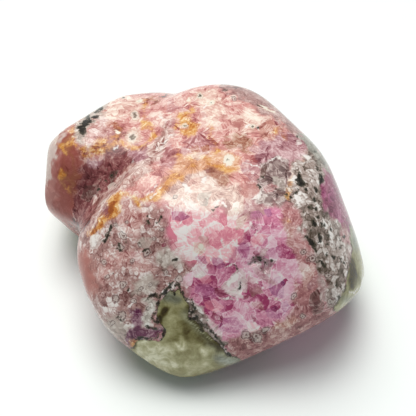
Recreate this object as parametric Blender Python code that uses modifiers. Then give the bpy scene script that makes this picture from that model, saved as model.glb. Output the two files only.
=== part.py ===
"""A polished freeform of cobaltoan calcite: one stone of two grown-together lobes, ground and tumbled smooth.

Metres, +Z up. The stone rests on its flat foot at z = 0, with the origin under the middle of its box.
"""

import math

import bmesh
import bpy
import numpy as np

MM = 0.001

# Each lobe is a ball ground down by flats. A flat is a direction and a distance from the lobe's centre in
# millimetres, and a higher sharpness leaves tighter edges between the flats. The rims are tighter than the faces.
LARGE_CENTRE = (0.0, 0.0, 22.0)
SMALL_CENTRE = (-24.0, 17.0, 20.0)
RIM_SHARPNESS = 40
FACE_SHARPNESS = 9
MEETING_SHARPNESS = 10
BALL_SUBDIVISIONS = 6

# The union is meshed afresh in even squares, then polished, which rounds the groove between the lobes.
MESH_STEP = 2.35
POLISH = 0.5
POLISH_PASSES = 6

# The broad front of the stone leans back. The flats around its rim stand square to it.
FRONT_ELEVATION = math.radians(50)


def rim(turn, distance):
    """A flat of the rim: turn runs anticlockwise from the right as the front is seen, in degrees."""
    turn = math.radians(turn)
    up = math.sin(turn)
    normal = (math.cos(turn), up * math.sin(FRONT_ELEVATION), up * math.cos(FRONT_ELEVATION))
    return normal, distance


def flat(azimuth, elevation, distance):
    """A flat that faces azimuth (0 is +X, 90 is +Y) and elevation, in degrees."""
    azimuth = math.radians(azimuth)
    elevation = math.radians(elevation)
    level = math.cos(elevation)
    normal = (level * math.cos(azimuth), level * math.sin(azimuth), math.sin(elevation))
    return normal, distance


LARGE_RIM = {
    "back_crest": rim(92, 45.2),
    "upper_right": rim(46, 37.6),
    "right_edge": rim(21, 37.9),
    "right_corner": rim(-2, 47.9),
    "front_right_under": rim(-63, 34.5),
    "front_under": rim(-103, 43.5),
    "left_under": rim(-132, 36.8),
    "left_low": rim(-153, 35.6),
    "left_edge": rim(-173, 35.6),
    "groove_side": rim(147, 30.5),
}
LARGE_FACES = {
    "top": flat(60, 83, 22.5),
    "front_slope": flat(-92, 32, 24.8),
    "right_slope": flat(-15, 38, 34.0),
    "left_slope": flat(215, 42, 29.3),
    "back_right": flat(50, -5, 47.0),
    "back": flat(85, -10, 42.0),
    "back_left": flat(140, -10, 34.0),
    "foot_front": flat(-108, -55, 39.5),
    "foot_back": flat(95, -60, 28.0),
    "foot_left": flat(180, -58, 28.5),
    "foot_right": flat(-20, -56, 36.0),
    "foot": flat(0, -90, 24.0),
}
SMALL_RIM = {
    "crest": rim(93, 31.5),
    "crest_left": rim(107, 31.2),
    "upper_left": rim(125, 23.4),
    "left_edge": rim(177, 22.2),
    "left_under": rim(-141, 20.3),
    "left_facet": flat(187, 20, 21.8),
}
SMALL_FACES = {
    "top": flat(100, 72, 20.0),
    "front_slope": flat(-118, 38, 19.5),
    "under_front": flat(-110, -20, 21.0),
    "back": flat(100, -5, 27.2),
    "back_left": flat(145, 0, 28.2),
    "foot_left": flat(185, -45, 21.5),
    "foot": flat(0, -90, 20.5),
    "inner": flat(0, 0, 19.0),
    "groove_slope": flat(-52, 48, 16.0),
    "foot_back": flat(105, -48, 22.0),
}

# The outer end of the small lobe was ground again after the polish, which left a straight edge and a corner there.
LATE_FLATS = {
    "slanted": rim(126.5, 20.6),
    "upright": rim(176.5, 19.6),
}

# Two corners of the crest stand a little proud of the flats beside them: the lobe, where on its rim, by how much
# and over what width, in millimetres.
PROUD_CORNERS = {
    "crest_corner": (LARGE_CENTRE, rim(67, 46.5), 2.6, 8.0),
    "small_crest": (SMALL_CENTRE, rim(106, 30.5), 1.3, 7.0),
}

# The groove between the lobes, as seen from above: it comes up the back, crosses the top and runs down the left
# side. x, y and depth.
GROOVE = [
    (-5.0, 46.0, 1.0),
    (-9.0, 32.0, 1.5),
    (-13.0, 18.0, 2.6),
    (-17.0, 10.0, 3.8),
    (-25.0, 5.0, 4.8),
    (-35.0, 2.0, 4.2),
    (-44.0, 1.5, 3.0),
]
GROOVE_WIDTH = 5.5
GROOVE_FADES_BELOW = 12.0

# A polished crystalline pink, with a high gloss from the last buff.
PINK = (0.55, 0.27, 0.27, 1.0)
POLISHED_ROUGHNESS = 0.14


def crowding(directions, flats, sharpness):
    """How tightly the flats press along each direction: one over the distance of the rounded skin they make."""
    pressed = np.zeros(len(directions))
    for normal, distance in flats.values():
        facing = np.clip(directions @ np.array(normal), 0, None)
        pressed += (facing / distance) ** sharpness
    return pressed ** (1 / sharpness)


def make_lobe(name, centre, rim_flats, face_flats):
    """A ball whose points are pulled in to the flats."""
    ball = bmesh.new()
    bmesh.ops.create_icosphere(ball, subdivisions=BALL_SUBDIVISIONS, radius=1.0)
    directions = np.array([vertex.co.normalized() for vertex in ball.verts])
    by_rim = crowding(directions, rim_flats, RIM_SHARPNESS)
    by_faces = crowding(directions, face_flats, FACE_SHARPNESS)
    reach = (by_rim**MEETING_SHARPNESS + by_faces**MEETING_SHARPNESS) ** (-1 / MEETING_SHARPNESS)
    places = np.array(centre) + directions * reach[:, None]
    for vertex, place in zip(ball.verts, places):
        vertex.co = place * MM
    mesh = bpy.data.meshes.new(name)
    ball.to_mesh(mesh)
    ball.free()
    return bpy.data.objects.new(name, mesh)


def grown_together(large, small):
    """The two lobes as one body, meshed evenly."""
    union = large.modifiers.new("grown_together", "BOOLEAN")
    union.operation = "UNION"
    union.solver = "EXACT"
    union.object = small
    even = large.modifiers.new("even_mesh", "REMESH")
    even.mode = "VOXEL"
    even.voxel_size = MESH_STEP * MM
    bpy.context.view_layer.update()
    return bpy.data.meshes.new_from_object(large.evaluated_get(bpy.context.evaluated_depsgraph_get()))


def press_groove(mesh):
    """Sinks the skin along the groove, deepest on its line and fading over its width and towards the foot."""
    places = np.array([vertex.co for vertex in mesh.vertices]) / MM
    normals = np.array([vertex.normal for vertex in mesh.vertices])
    depth = np.zeros(len(places))
    for start, end in zip(GROOVE, GROOVE[1:]):
        start, end = np.array(start), np.array(end)
        along = end[:2] - start[:2]
        share = ((places[:, :2] - start[:2]) @ along / (along @ along)).clip(0, 1)
        away = np.linalg.norm(places[:, :2] - start[:2] - share[:, None] * along, axis=1)
        here = start[2] + share * (end[2] - start[2])
        depth = np.maximum(depth, here * np.exp(-((away / GROOVE_WIDTH) ** 2)))
    depth *= (places[:, 2] / GROOVE_FADES_BELOW).clip(0, 1)
    for vertex, place in zip(mesh.vertices, places - normals * depth[:, None]):
        vertex.co = place * MM


def polish(mesh):
    """Rounds every edge and hollow by moving each point towards the middle of its neighbours."""
    skin = bmesh.new()
    skin.from_mesh(mesh)
    for _ in range(POLISH_PASSES):
        bmesh.ops.smooth_vert(
            skin, verts=skin.verts, factor=POLISH, use_axis_x=True, use_axis_y=True, use_axis_z=True
        )
    skin.to_mesh(mesh)
    skin.free()


def grind_corner(mesh):
    """Presses what lies beyond each late flat up to it, which leaves a corner that no polish has rounded."""
    places = np.array([vertex.co for vertex in mesh.vertices])
    for normal, distance in LATE_FLATS.values():
        normal = np.array(normal)
        beyond = (places / MM - np.array(SMALL_CENTRE)) @ normal - distance
        places -= beyond.clip(0, None)[:, None] * normal * MM
    for vertex, place in zip(mesh.vertices, places):
        vertex.co = place


def draw_out_corners(mesh):
    """Draws the rim out at each of the proud corners, fading with the distance seen from the front."""
    towards = np.array((0.0, -math.cos(FRONT_ELEVATION), math.sin(FRONT_ELEVATION)))
    places = np.array([vertex.co for vertex in mesh.vertices])
    for centre, (normal, distance), amount, width in PROUD_CORNERS.values():
        normal = np.array(normal)
        offset = places / MM - (np.array(centre) + normal * distance)
        offset -= np.outer(offset @ towards, towards)
        near = np.exp(-(offset**2).sum(axis=1) / (2 * width**2))
        places += near[:, None] * normal * amount * MM
    for vertex, place in zip(mesh.vertices, places):
        vertex.co = place


def grind_foot(mesh):
    """Presses what lies under z = 0 up to it, and moves the stone so that the origin is under its box's middle."""
    places = np.array([vertex.co for vertex in mesh.vertices])
    places[:, 2] = places[:, 2].clip(0, None)
    middle = (places.min(axis=0) + places.max(axis=0)) / 2
    middle[2] = 0
    for vertex, place in zip(mesh.vertices, places - middle):
        vertex.co = place


def rose_calcite():
    """The one finish: polished pink calcite."""
    finish = bpy.data.materials.new("rose_calcite")
    finish.use_nodes = True
    surface = finish.node_tree.nodes["Principled BSDF"]
    surface.inputs["Base Color"].default_value = PINK
    surface.inputs["Roughness"].default_value = POLISHED_ROUGHNESS
    surface.inputs["Metallic"].default_value = 0.0
    finish.diffuse_color = PINK
    return finish


def main():
    for old in list(bpy.data.objects):
        bpy.data.objects.remove(old)
    specimen = bpy.data.collections.new("cobaltoan_calcite")
    helpers = bpy.data.collections.new("helpers")
    bpy.context.scene.collection.children.link(specimen)
    bpy.context.scene.collection.children.link(helpers)
    large = make_lobe("large_lobe", LARGE_CENTRE, LARGE_RIM, LARGE_FACES)
    small = make_lobe("small_lobe", SMALL_CENTRE, SMALL_RIM, SMALL_FACES)
    for lobe in (large, small):
        helpers.objects.link(lobe)
    mesh = grown_together(large, small)
    for lobe in (large, small):
        bpy.data.objects.remove(lobe)
    press_groove(mesh)
    polish(mesh)
    grind_corner(mesh)
    draw_out_corners(mesh)
    grind_foot(mesh)
    mesh.shade_smooth()
    mesh.materials.append(rose_calcite())
    stone = bpy.data.objects.new("stone", mesh)
    specimen.objects.link(stone)


main()
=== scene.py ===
# %% [markdown]
# # A polished freeform of cobaltoan calcite
#
# The object is one palm-sized natural stone: pink calcite coloured by cobalt, grown as a crust of
# interlocking blades round older rock, then ground to two soft lobes and polished. Everything that makes it
# beautiful is a matter of colour inside a smooth skin, so most of this lesson is about placing and layering
# mineral zones.

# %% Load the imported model
import math

import bpy
import numpy as np
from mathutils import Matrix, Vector, noise


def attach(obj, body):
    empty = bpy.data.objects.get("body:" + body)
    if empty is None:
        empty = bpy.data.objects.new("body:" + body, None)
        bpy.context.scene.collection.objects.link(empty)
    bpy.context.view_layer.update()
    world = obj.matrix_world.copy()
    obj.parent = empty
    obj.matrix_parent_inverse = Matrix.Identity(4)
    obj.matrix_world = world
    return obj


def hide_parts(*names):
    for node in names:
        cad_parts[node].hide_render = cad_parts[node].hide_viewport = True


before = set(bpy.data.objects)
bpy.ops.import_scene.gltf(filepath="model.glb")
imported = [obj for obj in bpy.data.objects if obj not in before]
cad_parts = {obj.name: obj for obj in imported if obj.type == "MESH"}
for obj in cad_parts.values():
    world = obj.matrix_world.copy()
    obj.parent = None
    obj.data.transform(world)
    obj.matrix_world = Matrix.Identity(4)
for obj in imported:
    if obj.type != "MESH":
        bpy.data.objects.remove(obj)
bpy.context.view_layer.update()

# %% Units and colours
MM = 0.001


def colour(code):
    """An sRGB hex code as linear red, green, blue and alpha."""
    channels = [int(code[place : place + 2], 16) / 255 for place in (1, 3, 5)]
    return [c / 12.92 if c <= 0.04045 else ((c + 0.055) / 1.055) ** 2.4 for c in channels] + [1.0]


print("mid pink:", [round(c, 3) for c in colour("#C98A94")])

# %% [markdown]
# ## The camera
#
# The stone is looked down on at fifty degrees, square to its sloping front, through a longish lens. The
# camera comes first because the zones on the front are drawn as outlines in its frame and then carried onto
# the skin.

# %% Camera
CAMERA_ELEVATION = 50.0
CAMERA_DISTANCE = 0.245
LENS = 80.0
SENSOR = 36.0
AIM = Vector((0.0014, -0.0009, 0.0257))
FRAME_SIZE = 416

tilt = math.radians(CAMERA_ELEVATION)
towards_camera = Vector((0.0, -math.cos(tilt), math.sin(tilt)))
viewpoint = AIM + towards_camera * CAMERA_DISTANCE
bpy.ops.object.camera_add(location=viewpoint, rotation=(math.pi / 2 - tilt, 0, 0))
camera = bpy.context.object
camera.name = "camera"
camera.data.lens = LENS
camera.data.sensor_width = SENSOR
bpy.context.scene.camera = camera
MM_PER_PIXEL = CAMERA_DISTANCE / MM * SENSOR / LENS / FRAME_SIZE
print("camera at", [round(c, 4) for c in camera.location], "and", round(MM_PER_PIXEL, 3), "mm to a pixel")

# %% [markdown]
# ## The skin
#
# A lapidary grinds the form first and polishes it last. The solid model already has the ground form, so a
# copy of it is only made finer: subdivided to a smooth curve, remeshed into even squares small enough to
# carry the zones, and smoothed. Remeshing is chosen over more subdivision because the solid's triangles are
# uneven at the foot.

# %% Copy and refine the skin
SKIN_STEP = 0.495 * MM
SUBDIVISIONS = 2
MERGE = 0.001 * MM
POLISH_STRENGTH = 0.5
POLISH_PASSES = 12


def select_only(piece):
    """Selects one piece and makes it the active one, as most operators need."""
    bpy.ops.object.select_all(action="DESELECT")
    piece.select_set(True)
    bpy.context.view_layer.objects.active = piece


stone = bpy.data.objects.new("polished_stone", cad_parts["stone"].data.copy())
bpy.context.scene.collection.objects.link(stone)
select_only(stone)
bpy.ops.object.mode_set(mode="EDIT")
bpy.ops.mesh.select_all(action="SELECT")
bpy.ops.mesh.remove_doubles(threshold=MERGE)
bpy.ops.mesh.tris_convert_to_quads()
bpy.ops.object.mode_set(mode="OBJECT")
smoother = stone.modifiers.new("subdivide", "SUBSURF")
smoother.levels = smoother.render_levels = SUBDIVISIONS
even = stone.modifiers.new("even squares", "REMESH")
even.mode = "VOXEL"
even.voxel_size = SKIN_STEP
polish = stone.modifiers.new("polish", "SMOOTH")
polish.factor = POLISH_STRENGTH
polish.iterations = POLISH_PASSES
for modifier in ("subdivide", "even squares", "polish"):
    bpy.ops.object.modifier_apply(modifier=modifier)
bpy.ops.object.shade_smooth()
skin = stone.data
triangles = sum(len(face.vertices) - 2 for face in skin.polygons)
print("skin:", len(skin.vertices), "points and", triangles, "triangles")

# %% [markdown]
# ## Reading the skin
#
# Every zone is worked out point by point. Each point gets its place in millimetres, the way that it faces,
# and where it falls in the camera's frame. A wander, made of two sizes of noise, is added before any
# outline is tested, so that no border follows its drawn outline exactly.

# %% Points of the skin
count = len(skin.vertices)


def read_points(name):
    """One thing told by every point of the skin, such as its place, with a row to a point."""
    values = np.empty(count * 3)
    skin.vertices.foreach_get(name, values)
    return values.reshape(-1, 3)


places = read_points("co") / MM
normals = read_points("normal")

turned = places * MM - np.array(camera.location)
right = np.array((1.0, 0.0, 0.0))
upward = np.array((0.0, math.sin(tilt), math.cos(tilt)))
depth = -(turned @ np.array(towards_camera))
zoom = LENS / SENSOR * FRAME_SIZE
across = FRAME_SIZE / 2 + zoom * (turned @ right) / depth
down = FRAME_SIZE / 2 - zoom * (turned @ upward) / depth
seen = np.stack((across, down), axis=1)
facing = -np.einsum("ij,ij->i", normals, turned) / np.linalg.norm(turned, axis=1)
print("seen by the camera:", int((facing > 0).sum()), "of", count, "points")

# %% Wander
# sizes of the noise in millimetres
COARSE_WANDER = 4.5
FINE_WANDER = 1.5
WANDER_SEED = 8


def wander_of(size):
    """A way to wander for every point, in a pattern of a size in millimetres."""
    return np.array([noise.noise_vector(Vector(place) / size) for place in places])


noise.seed_set(WANDER_SEED)
coarse_wander = wander_of(COARSE_WANDER)
fine_wander = wander_of(FINE_WANDER)
print("largest swing of the noise:", round(float(np.abs(coarse_wander).max()), 2))

# %% [markdown]
# ## Drawing on the skin
#
# A border between two minerals is a shape, and a streak is a chain of beads: places with a radius, joined
# up. Both are turned into a distance field, the depth in millimetres inside the mark, which the material
# cuts off sharply later. A distance blends well between the points of the skin, so the edges stay crisp
# even where the mesh is coarser than they are. Painting colours straight onto the points would blur every
# edge by a whole square.

# %% Distance fields
# millimetres of coarse and of fine wander
DRAWN_WANDER = (0.7, 0.35)
ZONE_WANDER = (1.6, 1.4)
ROUND_WANDER = (3.0, 1.2)
TINY = 1e-9
FAR = 1e9


def wander(coarse, fine):
    """How far every point wanders, in millimetres."""
    return coarse_wander * coarse + fine_wander * fine


drawn = seen + wander(*DRAWN_WANDER)[:, :2] / MM_PER_PIXEL
zoned = seen + wander(*ZONE_WANDER)[:, :2] / MM_PER_PIXEL
wandered = places + wander(*ROUND_WANDER)


def smooth_step(low, high, values):
    """Nought below low, one above high, and an easy curve between."""
    ratio = np.clip((values - low) / (high - low), 0.0, 1.0)
    return ratio * ratio * (3.0 - 2.0 * ratio)


def chain_depth(beads, points):
    """How deep each point lies inside a chain of beads, each a place with its radius last."""
    beads = np.array(beads, dtype=float)
    best = beads[0, -1] - np.linalg.norm(points - beads[0, :-1], axis=1)
    for start, end in zip(beads[:-1], beads[1:]):
        step = end[:-1] - start[:-1]
        share = np.clip((points - start[:-1]) @ step / max(step @ step, TINY), 0.0, 1.0)
        away = np.linalg.norm(points - start[:-1] - share[:, None] * step, axis=1)
        best = np.maximum(best, start[-1] + share * (end[-1] - start[-1]) - away)
    return best


def outline_depth(outline, points):
    """How deep each point lies inside a closed outline, and minus the distance outside."""
    corners = np.array(outline, dtype=float)
    away = np.full(len(points), FAR)
    within = np.zeros(len(points), dtype=bool)
    for start, end in zip(corners, np.roll(corners, -1, axis=0)):
        step = end - start
        share = np.clip((points - start) @ step / (step @ step), 0.0, 1.0)
        away = np.minimum(away, np.linalg.norm(points - start - share[:, None] * step, axis=1))
        crosses = (start[1] > points[:, 1]) != (end[1] > points[:, 1])
        at = start[0] + (points[:, 1] - start[1]) * step[0] / (step[1] if step[1] else TINY)
        within ^= crosses & (points[:, 0] < at)
    return np.where(within, away, -away)


# %% Front and back
# A mark drawn on the front fades out where the skin turns away, and one set round the back where it comes
# into view. Facing is one where the skin looks at the camera, nought at its rim and negative behind.
FADE_BEGINS, FADE_ENDS = 0.04, -0.22
NO_MARK = -8.0
in_view = smooth_step(FADE_ENDS, FADE_BEGINS, facing)


def on_front(depths, view=in_view):
    """Depths in millimetres that count in view, and tell of no mark elsewhere."""
    return NO_MARK + (np.maximum(depths, NO_MARK) - NO_MARK) * view


def round_back(depths):
    """Depths in millimetres that count out of view, and tell of no mark within it."""
    return depths + (NO_MARK - depths) * in_view


def front_share(beads, softness):
    """How much a chain drawn on the front covers each point, from nought to one, with a soft border."""
    return smooth_step(-softness, softness, chain_depth(beads, drawn) * MM_PER_PIXEL) * in_view


print("points that take the front's marks:", int((in_view > 0.5).sum()))

# %% Places all round the stone
HEART = np.array((0.0, 0.0, 21.0))
OUTER_FIRST = 0.001  # of two points on one line, the outer one is taken


def on_skin(azimuth, elevation):
    """The place on the skin in a direction from the heart of the stone, in millimetres."""
    turn, rise = math.radians(azimuth), math.radians(elevation)
    way = Vector((math.cos(turn) * math.cos(rise), math.sin(turn) * math.cos(rise), math.sin(rise)))
    off_line = places - HEART
    along = off_line @ np.array(way)
    away = np.linalg.norm(off_line - along[:, None] * np.array(way), axis=1)
    return places[np.argmin(away + np.where(along > 0, 0.0, FAR) - OUTER_FIRST * along)]


print("the crest of the small lobe is at", [round(c, 1) for c in on_skin(145, 20)])

# %% [markdown]
# ## Zones of the ground
#
# Cobalt colours the calcite from violet pink to salmon, iron browns it and clay greys it, zone by zone.
# A few zones also carry painted light: shade in the groove, a sheen along the rim and a highlight on the
# shoulder.
# Each zone has three tones of its own, for the dark heart, the body and the pale edge of a crystal, and
# says how lacy and how speckled it is. Later zones lie over earlier ones with a soft border.

# %% Tones of the zones
# name: dark, body and pale tone, laciness, black specks, share of crystals that fan out, broad crystals
TONES = {
    "salmon": ("#905048", "#CE9084", "#F4D8CC", 0.15, 0.0, 0.5, 0.2),
    "light salmon": ("#A65858", "#DE9C96", "#FAE0D4", 0.15, 0.0, 0.6, 0.35),
    "cream": ("#C4847C", "#EABCB0", "#FEEEE0", 0.1, 0.0, 0.4, 0.3),
    "peach": ("#C07C5C", "#E6AE8E", "#FBDFC8", 0.1, 0.0, 0.5, 0.3),
    "tan": ("#84483A", "#B47A66", "#DEBAA8", 0.25, 0.0, 0.4, 0.2),
    "red brown": ("#763220", "#B0644E", "#DAA894", 0.1, 0.0, 0.3, 0.2),
    "brown rose": ("#8C484C", "#C68888", "#EECAC8", 0.2, 0.0, 0.6, 0.2),
    "mauve rose": ("#7A3E4A", "#B68086", "#E6C2C4", 0.25, 0.05, 0.5, 0.4),
    "rose": ("#93565A", "#C08A8C", "#EBD0CC", 0.25, 0.05, 0.5, 0.6),
    "bright pink": ("#EA889C", "#FFBCC4", "#FFF2F0", 0.1, 0.0, 0.2, 0.9),
    "magenta": ("#A83E68", "#E08EAA", "#F6CCD8", 0.0, 0.0, 0.25, 0.85),
    "deep magenta": ("#7A2450", "#B65A88", "#E09CB8", 0.0, 0.0, 0.2, 0.6),
    "crimson": ("#5E1028", "#8C2A48", "#C06A84", 0.0, 0.0, 0.2, 0.5),
    "violet": ("#7A3A66", "#B8709A", "#E6B8CC", 0.0, 0.0, 0.3, 0.6),
    "dusty": ("#724240", "#BE928C", "#F8EAE6", 0.75, 0.20, 0.4, 0.2),
    "dusty pink": ("#985250", "#D6A49E", "#FCEAE4", 0.45, 0.05, 0.4, 0.2),
    # dark blades: dark crystals whose tone is also darkened as painted shade for the groove they line
    "dark blades with painted shade": ("#4C1C1E", "#86484A", "#BA8882", 0.1, 0.05, 0.8, 0.2),
    "smooth end": ("#823A32", "#A0544C", "#BE746C", 0.0, 0.0, 0.0, 0.0),
    "smooth rose": ("#A05C52", "#B46C62", "#CA887E", 0.0, 0.0, 0.0, 0.0),
    "smooth rust": ("#864C34", "#A06046", "#B87E5C", 0.0, 0.0, 0.0, 0.0),
    "edge mauve": ("#9C5E58", "#B07068", "#CA8E86", 0.0, 0.0, 0.0, 0.0),
    # facet: the corner facet's pale tone is partly painted light, the window's light and sheen on that face
    "facet": ("#B89C94", "#D0B4AC", "#E8D6CE", 0.0, 0.0, 0.0, 0.0),
    "groove rim": ("#945E58", "#C49890", "#F6E0D8", 0.1, 0.0, 1.0, 0.2),
    "lace": ("#544438", "#B49E96", "#F2E8E4", 1.0, 0.50, 0.3, 0.0),
    "purple pink": ("#6A1A40", "#9C486A", "#C6849C", 0.15, 0.0, 0.4, 0.5),
    "bottom mauve": ("#6C3638", "#A86C6C", "#DCB6AE", 0.6, 0.10, 0.5, 0.2),
    "purple": ("#360C2A", "#703452", "#BC949E", 0.4, 0.35, 0.3, 0.2),
    # rim: partly the stone's own grey, partly a painted sheen, the pale haze of a grazing reflection
    "rim with painted sheen": ("#80605E", "#B88E8A", "#E2C6C0", 0.6, 0.10, 0.3, 0.2),
    # grey edge: partly the stone's own grey, partly a painted sheen of a grazing reflection
    "grey edge with painted sheen": ("#746A60", "#9C948A", "#C8BEB4", 0.5, 0.3, 0.3, 0.2),
    "grey crystals": ("#40282A", "#8A6C6A", "#D6C0BC", 0.0, 0.05, 0.9, 0.5),
    "lilac crystal": ("#88706E", "#AE9692", "#D8C6C0", 0.0, 0.0, 0.3, 0.2),
    "brown crystal": ("#3C2420", "#6A4A44", "#A0867E", 0.0, 0.0, 0.5, 0.2),
    "white crystals": ("#AE7E78", "#E2BEB2", "#FCEAE0", 0.1, 0.0, 0.6, 0.6),
    "clear crystal": ("#B8AA9E", "#F2E8E0", "#FFFCF8", 0.2, 0.0, 1.0, 0.5),
    "white": ("#D8C4BE", "#F0E2DC", "#FFF8F4", 0.0, 0.0, 0.3, 0.2),
    "pale halo": ("#968279", "#CBB6AC", "#F0E4DC", 0.6, 0.05, 0.4, 0.2),
    "salmon block": ("#B0706A", "#CA8E86", "#E6B8AE", 0.35, 0.0, 0.3, 0.2),
    "panel grey": ("#8A7A72", "#D2C4BA", "#F8F0EA", 0.5, 0.1, 0.6, 0.2),
}
print("tones:", ", ".join(TONES))
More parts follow.
